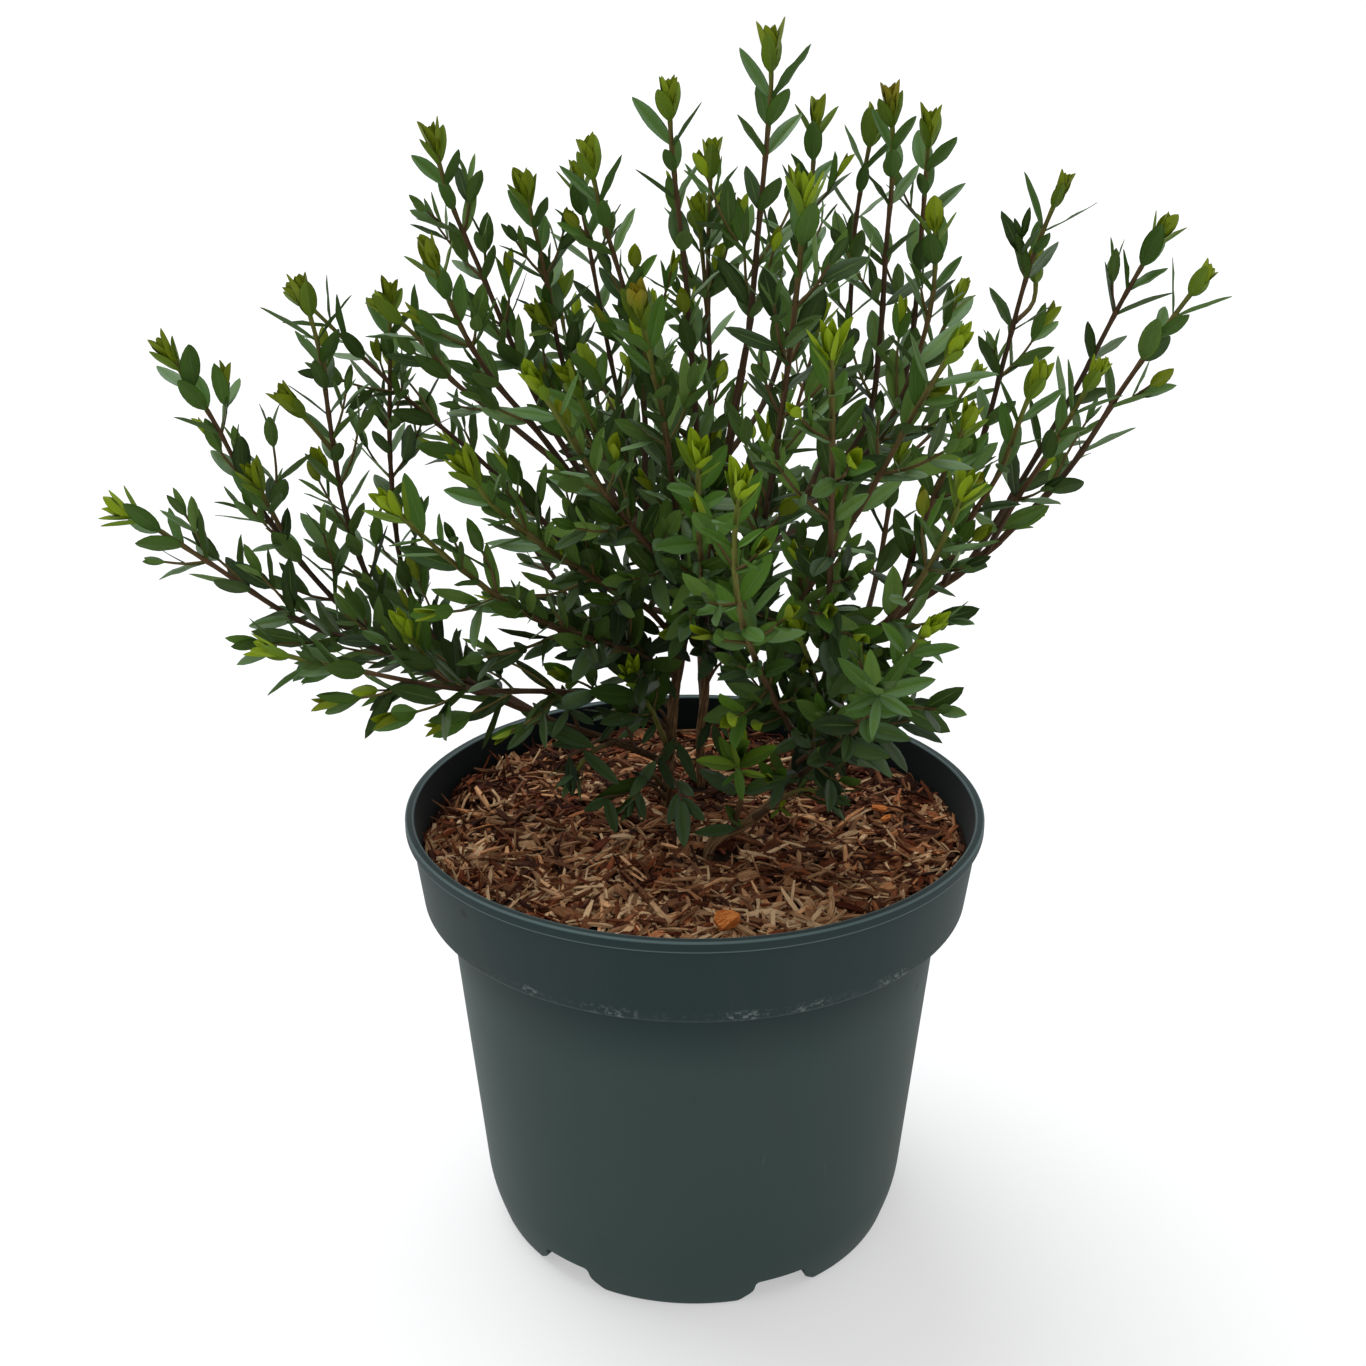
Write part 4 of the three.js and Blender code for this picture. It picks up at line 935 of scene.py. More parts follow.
class Shells:
    """Many small closed shells gathered for one mesh, with what the materials read at each point."""

    def __init__(self):
        self.points = []
        self.faces = []
        self.kinds = []
        self.marks = []
        self.places = []
        self.count = 0

    def add(self, points, faces, marks, places, kind=0):
        """Adds shells. faces lists arrays of corner numbers, one array for each number of corners."""
        self.marks.append(np.broadcast_to(marks, points.shape[:-1] + (4,)).reshape(-1, 4))
        self.places.append(places.reshape(-1, 3))
        self.points.append(points.reshape(-1, 3))
        for face in faces:
            self.faces.append(face + self.count)
            self.kinds.append(np.full(len(face), kind))
        self.count += len(self.points[-1])

    def add_tubes(self, points, marks, places, kind=0):
        """Adds closed tubes whose points are given ring by ring."""
        rings, sides = points.shape[-3:-1]
        faces = ring_faces(rings, sides, points.size // (3 * rings * sides))
        self.add(points, faces, marks, places, kind)

    def piece(self, name, materials, slot, sharp_deg, replaced=()):
        """Makes the mesh and its piece."""
        mesh = bpy.data.meshes.new(name)
        points = np.vstack(self.points) * MM
        corners = np.concatenate([face.ravel() for face in self.faces])
        sizes = np.concatenate([np.full(len(face), face.shape[1]) for face in self.faces])
        mesh.vertices.add(len(points))
        mesh.vertices.foreach_set("co", points.ravel())
        mesh.loops.add(len(corners))
        mesh.loops.foreach_set("vertex_index", corners)
        mesh.polygons.add(len(sizes))
        mesh.polygons.foreach_set("loop_start", np.concatenate([[0], np.cumsum(sizes)[:-1]]))
        mesh.update(calc_edges=True)
        mesh.polygons.foreach_set("material_index", np.concatenate(self.kinds))
        mark = mesh.attributes.new("mark", "FLOAT_COLOR", "POINT")
        mark.data.foreach_set("color", np.vstack(self.marks).ravel())
        place = mesh.attributes.new("place", "FLOAT_VECTOR", "POINT")
        place.data.foreach_set("vector", np.vstack(self.places).ravel())
        add_piece(name, mesh, materials, sharp_deg, replaced)


def linked(name, data):
    """A new object in the scene."""
    made = bpy.data.objects.new(name, data)
    bpy.context.scene.collection.objects.link(made)
    return made


def add_piece(name, mesh, materials, sharp_deg, replaced):
    """Puts a mesh in the scene as a piece that rides with the object and stands for some of its solids."""
    for material in materials:
        mesh.materials.append(material)
    mesh.shade_smooth()
    mesh.set_sharp_from_angle(angle=math.radians(sharp_deg))
    made = linked(name, mesh)
    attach(made, "root")
    if replaced:
        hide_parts(*replaced)


def ring_faces(rings, sides, tubes=1):
    """The side faces and end caps of tubes of rings, one tube after another."""
    ring, corner = np.meshgrid(np.arange(rings - 1), np.arange(sides), indexing="ij")
    low = (ring * sides + corner).ravel()
    low_next = (ring * sides + (corner + 1) % sides).ravel()
    quads = np.stack([low, low_next, low_next + sides, low + sides], axis=1)
    around = np.arange(sides)
    caps = np.stack([around[::-1], (rings - 1) * sides + around])
    shift = np.arange(tubes)[:, None, None] * rings * sides
    return [(faces + shift).reshape(-1, faces.shape[1]) for faces in (quads, caps)]


def turned_surface(radii, heights, segments, low_z, high_z):
    """The points and faces of a closed surface of rings, from the lowest place on the axis to the highest."""
    x, y = circle(radii, segments)
    rings = layers(x.shape, x, y, heights)
    points = np.vstack([rings.reshape(-1, 3), [[0, 0, low_z], [0, 0, high_z]]])
    corner = np.arange(segments)
    following = (corner + 1) % segments
    last = (len(rings) - 1) * segments
    low_pole = 0 * corner + len(points) - 2
    low_fan = np.stack([corner, low_pole, following], axis=1)
    high_fan = np.stack([last + corner, last + following, low_pole + 1], axis=1)
    return points, [ring_faces(len(rings), segments)[0], low_fan, high_fan]


def plain_mesh(name, points, faces):
    """A mesh in metres."""
    mesh = bpy.data.meshes.new(name)
    mesh.from_pydata((points * MM).tolist(), [], [face for group in faces for face in group.tolist()])
    return mesh


def tube_points(route, stations, radii, sides):
    """The points of a tube, ring by ring."""
    _, side, back = route.axes(stations)
    angles = math.radians(route.twist) + 2 * math.pi * (np.arange(sides) + 0.5) / sides
    spokes = side[:, None] * np.cos(angles)[:, None] + back[:, None] * np.sin(angles)[:, None]
    return route.at(stations)[:, None] + spokes * radii[..., None]


def add_twig(shells, route, start, end, tint, age, span=math.inf, nodes=()):
    """Adds a twig, swollen a little at its leaves. Its bark gets older by 1 over a span from its tip down."""
    count = max(3, int((end - start) / TWIG_STEP))
    stations = np.union1d(np.linspace(start, end, count), [s for s in nodes if start < s < end])
    swell = np.zeros(len(stations))
    for s in nodes:
        swell = np.maximum(swell, np.exp(-(((stations - s) / NODE_REACH) ** 2)))
    radii = route.radius(stations) * (1 + NODE_SWELL * swell)
    points = tube_points(route, stations, radii[:, None], TWIG_SIDES)
    shape = points.shape[:2]
    woody = np.clip(age + (route.length - stations) / span, 0, 1)[:, None]
    marks = layers(shape, woody, tint, 0, 0)
    places = layers(shape, np.arange(TWIG_SIDES), stations[:, None], 50 * tint)
    shells.add_tubes(points, marks, places, 1)


def blade_width(u):
    """A blade's half width along its length, with 1 as the widest."""
    low, high = BLADE_FULLNESS
    blade = np.clip((u - BLADE_START) / (1 - BLADE_START), 0, 1)
    widest = (low / (low + high)) ** low * (high / (low + high)) ** high
    return blade**low * (1 - blade) ** high / widest


def add_leaves(shells, leaves, grid):
    """Adds closed leaf blades: pointed, folded along a sunk midrib, curled, bent and waved."""
    if not leaves:
        return

    def each(values):
        return np.array(values)[:, None, None]

    def strays(span, quality):
        return each([draw_between(span, leaf["seed"], quality) for leaf in leaves])

    stations, v, upper_count = grid
    u = stations[:, None]
    under = (np.arange(len(v)) >= upper_count).astype(float)
    base, axis, face, length, young = [
        each([leaf[key] for leaf in leaves]) for key in ("base", "axis", "face", "length", "young")
    ]
    slim = each([leaf.get("slim", 1) for leaf in leaves]) * (1 + YOUNG_WIDEN * share(young, 0.5, 1))
    fullness = blade_width(u)
    half = LEAF_HALF_WIDTH * length * strays(WIDTH_STRAY, 41) * slim * fullness
    half = np.maximum(half, STALK_HALF_WIDTH * (1 - 0.75 * u))
    fold = strays(FOLD_STRAY, 42) + YOUNG_FOLD * young
    curl = strays(CURL_STRAY, 48) * (1 - young)
    bend = strays(BEND_STRAY, 43) * (1 - young) + YOUNG_BEND * young
    swing = np.sin(2 * math.pi * (2 * u + strays((0, 1), 45)))
    wave = strays(WAVE_STRAY, 44) * length * swing * v * v * fullness
    rib = np.exp(-((v / MIDRIB_WIDTH) ** 2))
    up = half * (fold * np.abs(v) - curl * v * v) + bend * length * u * u + wave
    up = up - (1 - under) * MIDRIB_GROOVE * rib * fullness
    up = up - under * (BLADE_THICKNESS * (1 - 0.75 * v * v) + MIDRIB_RIDGE * rib) * (1 - 0.6 * u)
    reach = length * (u - 0.35 * bend * bend * u * u)
    points = base + axis * reach[..., None]
    points = points + np.cross(axis, face) * (half * v)[..., None] + face * up[..., None]
    shape = points.shape[:3]
    tints = each([leaf.get("tint", draw(leaf["seed"], 46)) for leaf in leaves])
    # Painted shade: leaves deep in the bush and low down, young ones less, are darkened through the mark's
    # alpha
    shade = painted_leaf_shade(base + axis * length[..., None] * 0.5) * (1 - SHADE_YOUNG_LESS * young)
    marks = layers(shape, young, np.clip(tints, 0, 1), under, shade)
    shells.add_tubes(points, marks, layers(shape, u, v, 60 * strays((0, 1), 47)))


def make_shoots(shoots, materials):
    """The leafy shoots, each with its stem, sprigs, side twigs and leaves."""
    for shoot in shoots:
        shells = Shells()
        tint = draw(shoot.index, 22)
        greener = 5 * FRESH_SHOOTS.get(shoot.index + 1, 0) + 1.5 * frontness(shoot.at(0.6 * shoot.full))
        span = SHOOT_BROWN_LENGTH * (0.75 + 0.5 * draw(shoot.index, 23) + greener)
        for route in [shoot] + shoot.sprigs:
            start = SPUR_LENGTH + GAP if route is shoot else 0
            nodes = [pair["s"] for pair in leaf_pairs(route, 0, SPRIG_BARE_LENGTH)]
            add_twig(shells, route, start, route.length, tint, 0, span, nodes)
        for twig in shoot.side_twigs:
            add_twig(shells, twig, 0, twig.full - TWIG_END, tint, SIDE_AGE)
        add_leaves(shells, shoot.leaves, LEAF_GRID)
        add_leaves(shells, shoot.small_leaves, SMALL_LEAF_GRID)
        shells.piece(f"leafy_{shoot.name}", materials, "foliage", 55, [shoot.name])


def make_low_sprouts(routes, leaves, materials):
    """The small sprouts near the mulch."""
    shells = Shells()
    for route in routes:
        add_twig(shells, route, 0, route.full - TWIG_END, 0.5, SPROUT_AGE)
    add_leaves(shells, leaves, LEAF_GRID)
    shells.piece("low_sprouts", materials, "foliage", 55)


def lumpy_radii(route, stations, seed):
    """Radii of a woody stem with shallow lumps."""
    angles = 2 * math.pi * np.arange(WOOD_SIDES) / WOOD_SIDES
    lumps = np.zeros((len(stations), WOOD_SIDES))
    for wave, (around, pitch) in enumerate(WOOD_LUMPS):
        phase = 2 * math.pi * draw(seed, 60 + wave)
        lumps += np.sin(around * angles + 2 * math.pi * stations[:, None] / pitch + phase) / (wave + 2)
    return route.radius(stations)[:, None] * (1 + LUMP_HEIGHT * lumps)


def make_wood(wood, shoots, material):
    """The woody stems: trunk, limbs and the short spurs that the shoots continue."""
    x, y = circle(3, WOOD_SIDES)
    for number, (name, *_) in enumerate(STEMS):
        shells = Shells()
        own = [(route, route.length) for route in wood.values() if route.stem == name]
        own += [(shoot, SPUR_LENGTH) for shoot in shoots if shoot.stem == name]
        for place, (route, end) in enumerate(own):
            stations = np.linspace(0, end, max(4, int(end / WOOD_STEP)))
            radii = lumpy_radii(route, stations, 10 * number + place)
            points = tube_points(route, stations, radii, WOOD_SIDES)
            places = layers(points.shape[:2], x + 7 * place, y, stations[:, None])
            shells.add_tubes(points, (min(place, 1), 0.5, 0, 1), places)
        shells.piece(f"bark_stem_{name}", [material], "bark", 70, [f"woody_stem_{name}"])


def rounded(profile):
    """A profile of (radius, height, corner rounding) with its corners turned into arcs."""
    outline = []
    for before, corner, after in zip(profile[-1:] + profile[:-1], profile, profile[1:] + profile[:1]):
        here = np.array(corner[:2], float)
        if corner[2] == 0:
            outline.append(here)
            continue
        to_before = np.array(before[:2], float) - here
        to_after = np.array(after[:2], float) - here
        cut = min(corner[2], 0.45 * np.linalg.norm(to_before), 0.45 * np.linalg.norm(to_after))
        start = here + cut * unit(to_before)
        end = here + cut * unit(to_after)
        for t in np.linspace(0, 1, ARC_STEPS + 1):
            outline.append((1 - t) ** 2 * start + 2 * t * (1 - t) * here + t * t * end)
    return np.array(outline)


def pot_profile():
    """The container's wall from the hub out, up, over the lip and down inside: radius, height, rounding."""
    return [
        (0, 0, 0),
        (HUB_RADIUS, 0, 1.5),
        (HUB_RADIUS, FOOT_HEIGHT, 2),
        (FOOT_INNER_RADIUS, FOOT_HEIGHT, 2),
        (FOOT_INNER_RADIUS, 0, 1.5),
        (FOOT_RADIUS, 0, 2.2),
        (HEEL_RADIUS, HEEL_Z, 12),
        (SHOULDER_RADIUS, COLLAR_LOW_Z - SHOULDER_DROP, 0.5),
        (COLLAR_LOW_RADIUS - 0.8, COLLAR_LOW_Z - SHOULDER_DROP, 0.5),
        (COLLAR_LOW_RADIUS, COLLAR_LOW_Z, 0.6),
        (COLLAR_TOP_RADIUS, POT_HEIGHT - LIP_DEPTH, 0.7),
        (LIP_RADIUS, POT_HEIGHT - LIP_DEPTH + 0.3, 0.6),
        (LIP_RADIUS, POT_HEIGHT, 0.8),
        (LIP_RADIUS - LIP_WIDTH, POT_HEIGHT, 0.7),
        (COLLAR_TOP_RADIUS - POT_WALL, POT_HEIGHT - LIP_DEPTH, 0.5),
        (COLLAR_LOW_RADIUS - POT_WALL, COLLAR_LOW_Z + POT_WALL, 0.5),
        (SHOULDER_RADIUS - POT_WALL, COLLAR_LOW_Z - SHOULDER_DROP, 0.5),
        (HEEL_RADIUS - POT_WALL, FLOOR_Z, 2),
        (0, FLOOR_Z, 0),
    ]


def notch_mesh(angle_deg):
    """A cutter for one notch between two feet: an arch with round shoulders that flares where feet end."""
    half = NOTCH_WIDTH / 2
    side = [
        (half + FOOT_CORNER, NOTCH_LOW_Z, 0),
        (half + FOOT_CORNER, 0, 0),
        (half, 0.8 * FOOT_CORNER, FOOT_CORNER),
        (half, FOOT_HEIGHT, NOTCH_CORNER),
    ]
    arch = rounded(side + [(-across, z, corner) for across, z, corner in side[::-1]])
    ends = [np.column_stack([np.full(len(arch), radius), arch]) for radius in (NOTCH_START, LIP_RADIUS)]
    turn = math.radians(angle_deg - 90)
    spin = np.array([[math.cos(turn), math.sin(turn), 0], [-math.sin(turn), math.cos(turn), 0], [0, 0, 1]])
    return plain_mesh("notch", np.vstack(ends) @ spin, ring_faces(2, len(arch)))


def cut(mesh, cutter_meshes):
    """A mesh with others cut out of it."""
    piece = linked("blank", mesh)
    cutters = bpy.data.collections.new("cutters")
    bpy.context.scene.collection.children.link(cutters)
    for cutter_mesh in cutter_meshes:
        cutters.objects.link(bpy.data.objects.new(cutter_mesh.name, cutter_mesh))
    boolean = piece.modifiers.new("notches", "BOOLEAN")
    boolean.operation = "DIFFERENCE"
    boolean.operand_type = "COLLECTION"
    boolean.collection = cutters
    boolean.solver = "EXACT"
    evaluated = piece.evaluated_get(bpy.context.evaluated_depsgraph_get())
    result = bpy.data.meshes.new_from_object(evaluated)
    for done in [piece, *cutters.objects]:
        bpy.data.objects.remove(done)
    bpy.data.collections.remove(cutters)
    return result


def make_pot(materials):
    """The container: one moulded wall with a lip, a collar and six feet. Its inside has a second finish."""
    outline = rounded(pot_profile())
    radii, heights = outline[1:-1].T
    blank = turned_surface(radii, heights[:, None], POT_SEGMENTS, outline[0, 1], outline[-1, 1])
    notches = [notch_mesh(FIRST_NOTCH_DEG + 360 / FOOT_COUNT * notch) for notch in range(FOOT_COUNT)]
    mesh = cut(plain_mesh("blank", *blank), notches)
    mesh.materials.clear()
    for face in mesh.polygons:
        face.material_index = int(face.normal.dot(face.center) < POT_INSIDE)
    add_piece("moulded_pot", mesh, materials, 32, ["pot"])


def collar_inner_radius(z):
    """The container's inner radius at a height above its shoulder."""
    low = (COLLAR_LOW_RADIUS - POT_WALL, COLLAR_LOW_Z + POT_WALL)
    high = (COLLAR_TOP_RADIUS - POT_WALL, POT_HEIGHT - LIP_DEPTH)
    return low[0] + (high[0] - low[0]) * (z - low[1]) / (high[1] - low[1])


def bed_height(x, y):
    """The height of the fine bed under the chips: lower at the wall, with hollows and rises."""
    part = np.minimum(1, np.hypot(x, y) / LIP_RADIUS)
    level = MULCH_MIDDLE_Z + (MULCH_EDGE_Z - MULCH_MIDDLE_Z) * part * part - BED_DROP
    wide = np.sin(x / 11 + 1.3) * np.cos(y / 13)
    ripple = wide + 0.6 * np.sin(y / 5.3 + x / 7.9) + 0.4 * np.sin(x / 3.1 - y / 3.7)
    return level + BED_RIPPLE * ripple


def make_bed(material):
    """The fine bed of the mulch."""
    low_radius, edge_radius = [collar_inner_radius(z) - WALL_CLEARANCE for z in (MULCH_FLOOR_Z, MULCH_EDGE_Z)]
    radii = np.append(low_radius, np.linspace(0, edge_radius, BED_RINGS)[:0:-1])
    heights = bed_height(*circle(radii, BED_SEGMENTS))
    heights[0] = MULCH_FLOOR_Z
    points, faces = turned_surface(radii, heights, BED_SEGMENTS, MULCH_FLOOR_Z, bed_height(0, 0))
    shells = Shells()
    shells.add(points, faces, (0.5, 0.5, 0, 1), points)
    shells.piece("mulch_bed", [material], "bark_mulch", 60, ["bark_mulch"])


class Heap:
    """A grid of heights on which chips are laid one by one."""

    def __init__(self):
        self.half = int(LIP_RADIUS / HEAP_CELL) + 2
        line = (np.arange(2 * self.half + 1) - self.half) * HEAP_CELL
        self.z = bed_height(*np.meshgrid(line, line, indexing="ij"))

    def cells(self, x, y):
        """The grid cells of places."""
        return tuple(np.rint(place / HEAP_CELL).astype(int) + self.half for place in (x, y))

    def lay(self, x, y, direction, length, width, thick, sink):
        """Lays one chip: returns its middle's height and its slope, and raises the grid under it."""
        steps = np.linspace(-0.5, 0.5, max(3, int(length / HEAP_CELL)))
        px = x + steps * length * direction[0]
        py = y + steps * length * direction[1]
        under = self.z[self.cells(px, py)]
        slope = np.polyfit(steps * length, under, 1)[0]
        top = np.median(under) + thick * (1 - sink)
        raised = top + slope * steps * length
        spread = max(0, int(0.5 * width / HEAP_CELL))
        for offset in range(-spread, spread + 1):
            cells = self.cells(px - offset * HEAP_CELL * direction[1], py + offset * HEAP_CELL * direction[0])
            self.z[cells] = np.maximum(self.z[cells], raised)
        return top - 0.5 * thick, slope


def chip_spots(
    generator, heap, stems, count, lengths, widths, thicks, sink, rise_deg, area=(0, 1), around=(0, 360)
):
    """Where the chips of a kind lie: a row for each, with its middle, size, and length, width and up axes."""
    spots = []
    wall = collar_inner_radius(MULCH_EDGE_Z)
    while len(spots) < count:
        radius = (wall - CHIP_MIDDLE_GAP) * math.sqrt(generator.uniform(*area))
        angle = math.radians(generator.uniform(*around))
        x, y = radius * math.cos(angle), radius * math.sin(angle)
        length = generator.uniform(*lengths) * (0.75 + 0.5 * generator.random() ** 2)
        width = generator.uniform(*widths)
        thick = generator.uniform(*thicks)
        rise = math.radians(generator.normal(0, rise_deg / 2.2))
        rise = float(np.clip(rise, -CHIP_STEEPEST[0], CHIP_STEEPEST[0]))
        turn = 2 * math.pi * generator.random()
        if radius + 0.5 * length * math.cos(rise) > wall - CHIP_TURN_GAP:
            turn = angle + math.pi / 2 + generator.normal(0, 0.35)
        direction = np.array([math.cos(turn), math.sin(turn)])
        ends = np.array([[x, y]]) + direction * length * math.cos(rise) * np.array([[-0.5], [0], [0.5]])
        if np.max(np.hypot(ends[:, 0], ends[:, 1])) > wall - CHIP_WALL_GAP:
            continue
        if np.min(np.linalg.norm(ends[:, None] - stems, axis=-1)) < CHIP_STEM_GAP:
            continue
        covering = thick if abs(rise) < CHIP_LYING else 0
        z, slope = heap.lay(x, y, direction, length * math.cos(rise), width, covering, sink)
        rise = float(np.clip(rise + math.atan(slope), -CHIP_STEEPEST[1], CHIP_STEEPEST[1]))
        lift = 0.5 * length * abs(math.sin(rise))
        z = min(z + 0.35 * lift, HEAP_LIMIT_Z - lift)
        along = np.array([*(direction * math.cos(rise)), math.sin(rise)])
        spots.append((x, y, z, length, width, thick, *chip_axes(along, generator.normal(0, 0.4))))
    return np.array(spots)


def chip_axes(along, roll):
    """The length, width and up axes of a chip."""
    side = unit(np.cross([0, 0, 1], along))
    across = side * math.cos(roll) + np.cross(along, side) * math.sin(roll)
    return (*along, *across, *np.cross(along, across))


def bright_spots():
    """The picked bright chips, tipped a little towards the photo's camera."""
    spots = []
    for pixel_x, pixel_y, length, width, thick, turn_deg, _ in BRIGHT_CHIPS:
        near, far = [place_of((pixel_x, pixel_y, depth)) for depth in (-110, 110)]
        middle = near + (MULCH_EDGE_Z + BRIGHT_RISE - near[2]) / (far[2] - near[2]) * (far - near)
        turn = math.radians(turn_deg)
        along = unit(np.array([math.cos(turn), math.sin(turn), 0.28 * math.sin(turn)]))
        spots.append((*middle, length, width, thick, *chip_axes(along, 0.3 * math.cos(turn))))
    return np.array(spots)


def add_chips(name, material, spots, tints, buried_shade, rings, ragged, generator):
    """A piece of closed splinters with uneven sides and broken ends, a little bowed and twisted."""
    count = len(spots)
    shape = (count, rings, CHIP_SIDES)
    stations = np.linspace(-0.5, 0.5, rings)[:, None]
    angles = 2 * math.pi * (np.arange(CHIP_SIDES) + 0.5) / CHIP_SIDES
    taper = 1 - 0.3 * np.abs(2 * stations) ** 3
    y = np.cos(angles) * taper * generator.uniform(1 - ragged, 1 + ragged, shape)
    z = np.sin(angles) * taper * generator.uniform(*CHIP_THICK_STRAY, shape)
    x = np.broadcast_to(stations, shape).copy()
    x[:, 0] += generator.uniform(*CHIP_END_STRAY, (count, CHIP_SIDES))
    x[:, -1] -= generator.uniform(*CHIP_END_STRAY, (count, CHIP_SIDES))
    length, width, thick = spots[:, 3:6].T[:, :, None, None]
    bow = generator.uniform(*CHIP_BOW, (count, 1, 1)) * length * (1 - 4 * x * x)
    lift = generator.uniform(*CHIP_LIFT, (count, 1, 1)) * length * (1 - 4 * x * x)
    twist = generator.uniform(*CHIP_TWIST, (count, 1, 1)) * x
    y_mm = 0.7 * (width * y * np.cos(twist) - thick * z * np.sin(twist)) + bow
    z_mm = 0.7 * (thick * z * np.cos(twist) + width * y * np.sin(twist)) + lift
    middle, along, across, up = [spots[:, start : start + 3][:, None, None] for start in (0, 6, 9, 12)]
    points = middle + along * (x * length)[..., None] + across * y_mm[..., None] + up * z_mm[..., None]
    places = layers(shape, x * length, y_mm, z_mm) + generator.uniform(0, 400, (count, 1, 1, 3))
    tone = generator.random((count, 1, 1))
    shells = Shells()
    shells.add_tubes(points, layers(shape, tints[:, None, None], tone, buried_shade[:, None, None], 1), places)
    shells.piece(f"mulch_{name}", [material], "bark_mulch", 30)


def chip_tints(spots, pale, generator):
    """How pale each chip is. The front of the bed holds more pale fibre."""
    x, y = spots[:, 0], spots[:, 1]
    paler = -FRONT_PALER * np.clip(y / LIP_RADIUS, -1, 1) - RIGHT_DARKER * x / LIP_RADIUS
    patches = PATCHES_PALER * np.sin(x / 9 + 1 + 0.4 * np.sin(y / 6)) * np.cos(y / 7 + 0.4)
    tints = pale * generator.beta(1.2, 1.35, len(spots)) + paler + patches
    return np.clip(tints, 0, CHIP_PALEST)


def make_chips(wood, material):
    """The chips of the mulch, heaped from dust to splinters, and the bright ones on top."""
    generator = np.random.default_rng(CHIP_SEED)
    heap = Heap()
    stems = np.vstack([wood[name].at(np.array([20, 26, 32]))[:, :2] for name, *_ in STEMS])
    laid = [chip_spots(generator, heap, stems, *laying) for *_, laying in CHIP_KINDS]
    for (name, pale, rings, ragged, _), spots in zip(CHIP_KINDS, laid):
        # Painted shade: how far below the heap's top a chip lies darkens it
        buried_shade = share(heap.z[heap.cells(spots[:, 0], spots[:, 1])] - spots[:, 2], 1, 4.5)
        tints = chip_tints(spots, pale, generator)
        add_chips(name, material, spots, tints, buried_shade, rings, ragged, generator)
    tints = np.array([chip[-1] for chip in BRIGHT_CHIPS])
    add_chips("bright", material, bright_spots(), tints, 0 * tints, BRIGHT_RINGS, BRIGHT_RAGGED, generator)


class Value:
    """A number, place or colour that a material works out at every point."""

    def __init__(self, graph, socket):
        self.graph = graph
        self.socket = socket

    def math(self, operation, other=0):
        """This number joined with another, or changed by itself."""
        return self.graph.value("ShaderNodeMath", {0: self, 1: other}, operation=operation)

    def __add__(self, other):
        return self.math("ADD", other)

    def __sub__(self, other):
        return self.math("SUBTRACT", other)

    def __mul__(self, other):
        return self.math("MULTIPLY", other)

    def __abs__(self):
        return self.math("ABSOLUTE")

    def spread(self, low, high, to_low=0, to_high=1):
        """This number taken from one span to another, smoothly and without passing it."""
        sockets = {0: self, 1: low, 2: high, 3: to_low, 4: to_high}
        return self.graph.value("ShaderNodeMapRange", sockets, interpolation_type="SMOOTHSTEP")

    def parts(self):
        """The red, green and blue of a colour, or the x, y and z of a place."""
        made = self.graph.node("ShaderNodeSeparateXYZ", {0: self})
        return [Value(self.graph, socket) for socket in made.outputs]

    def noise(self, scale, detail=3, roughness=0.5, stretch=None):
        """Noise between 0 and 1 at a place, finer along each axis by how it is stretched."""
        place = self.graph.value("ShaderNodeMapping", {"Vector": self, "Scale": stretch}) if stretch else self
        sockets = {"Vector": place, "Scale": scale, "Detail": detail, "Roughness": roughness}
        return self.graph.value("ShaderNodeTexNoise", sockets)

    def ramp(self, stops):
        """The colour for this number among stops of (position, colour)."""
        made = self.graph.node("ShaderNodeValToRGB", {0: self})
        elements = made.color_ramp.elements
        while len(elements) < len(stops):
            elements.new(0.5)
        for element, (position, colour) in zip(elements, stops):
            element.position = position
            element.color = (*colour, 1)
        return Value(self.graph, made.outputs[0])

    def bump(self, strength, distance_mm, under=None):
        """A bump from this height, on top of another if given."""
        sockets = {"Height": self, "Strength": strength, "Distance": distance_mm * MM}
        if under:
            sockets["Normal"] = under
        return self.graph.value("ShaderNodeBump", sockets)


class Graph:
    """A material's nodes, added and joined by short calls."""

    def __init__(self, name):
        self.material = bpy.data.materials.new(name)
        self.material.use_nodes = True
        self.tree = self.material.node_tree
        self.tree.nodes.clear()

    def node(self, kind, inputs=(), **settings):
        """A new node. inputs pairs a socket's name or number with a value, a number or a colour."""
        made = self.tree.nodes.new(kind)
        for key, value in settings.items():
            setattr(made, key, value)
        for key, value in dict(inputs).items():
            socket = made.inputs[key]
            if isinstance(value, Value):
                self.tree.links.new(value.socket, socket)
            else:
                socket.default_value = (*value, 1) if socket.type == "RGBA" else value
        return made

    def value(self, kind, inputs=(), output=0, **settings):
        """What a new node works out."""
        return Value(self, self.node(kind, inputs, **settings).outputs[output])

    def attribute(self, name, output):
        """A value that the mesh carries."""
        return self.value("ShaderNodeAttribute", (), output, attribute_name=name)

    def where(self):
        """The place of each point on the object, in metres."""
        return self.value("ShaderNodeTexCoord", (), "Object")

    def mix(self, part, a, b, blend="MIX"):
        """A mix of two colours."""
        return self.value("ShaderNodeMix", {0: part, 6: a, 7: b}, 2, data_type="RGBA", blend_type=blend)

    def finish(self, colour, roughness, shine, normal=None, through=0, more=()):
        """Ends the material in a Principled shader, with a part of the light let through if asked."""
        sockets = {"Base Color": colour, "Roughness": roughness, "Specular IOR Level": shine, **dict(more)}
        if normal:
            sockets["Normal"] = normal
        shader = self.value("ShaderNodeBsdfPrincipled", sockets)
        if through:
            glow = self.value("ShaderNodeBsdfTranslucent", {"Color": colour})
            shader = self.value("ShaderNodeMixShader", {0: through, 1: shader, 2: glow})
        self.node("ShaderNodeOutputMaterial", {"Surface": shader})
        return self.material


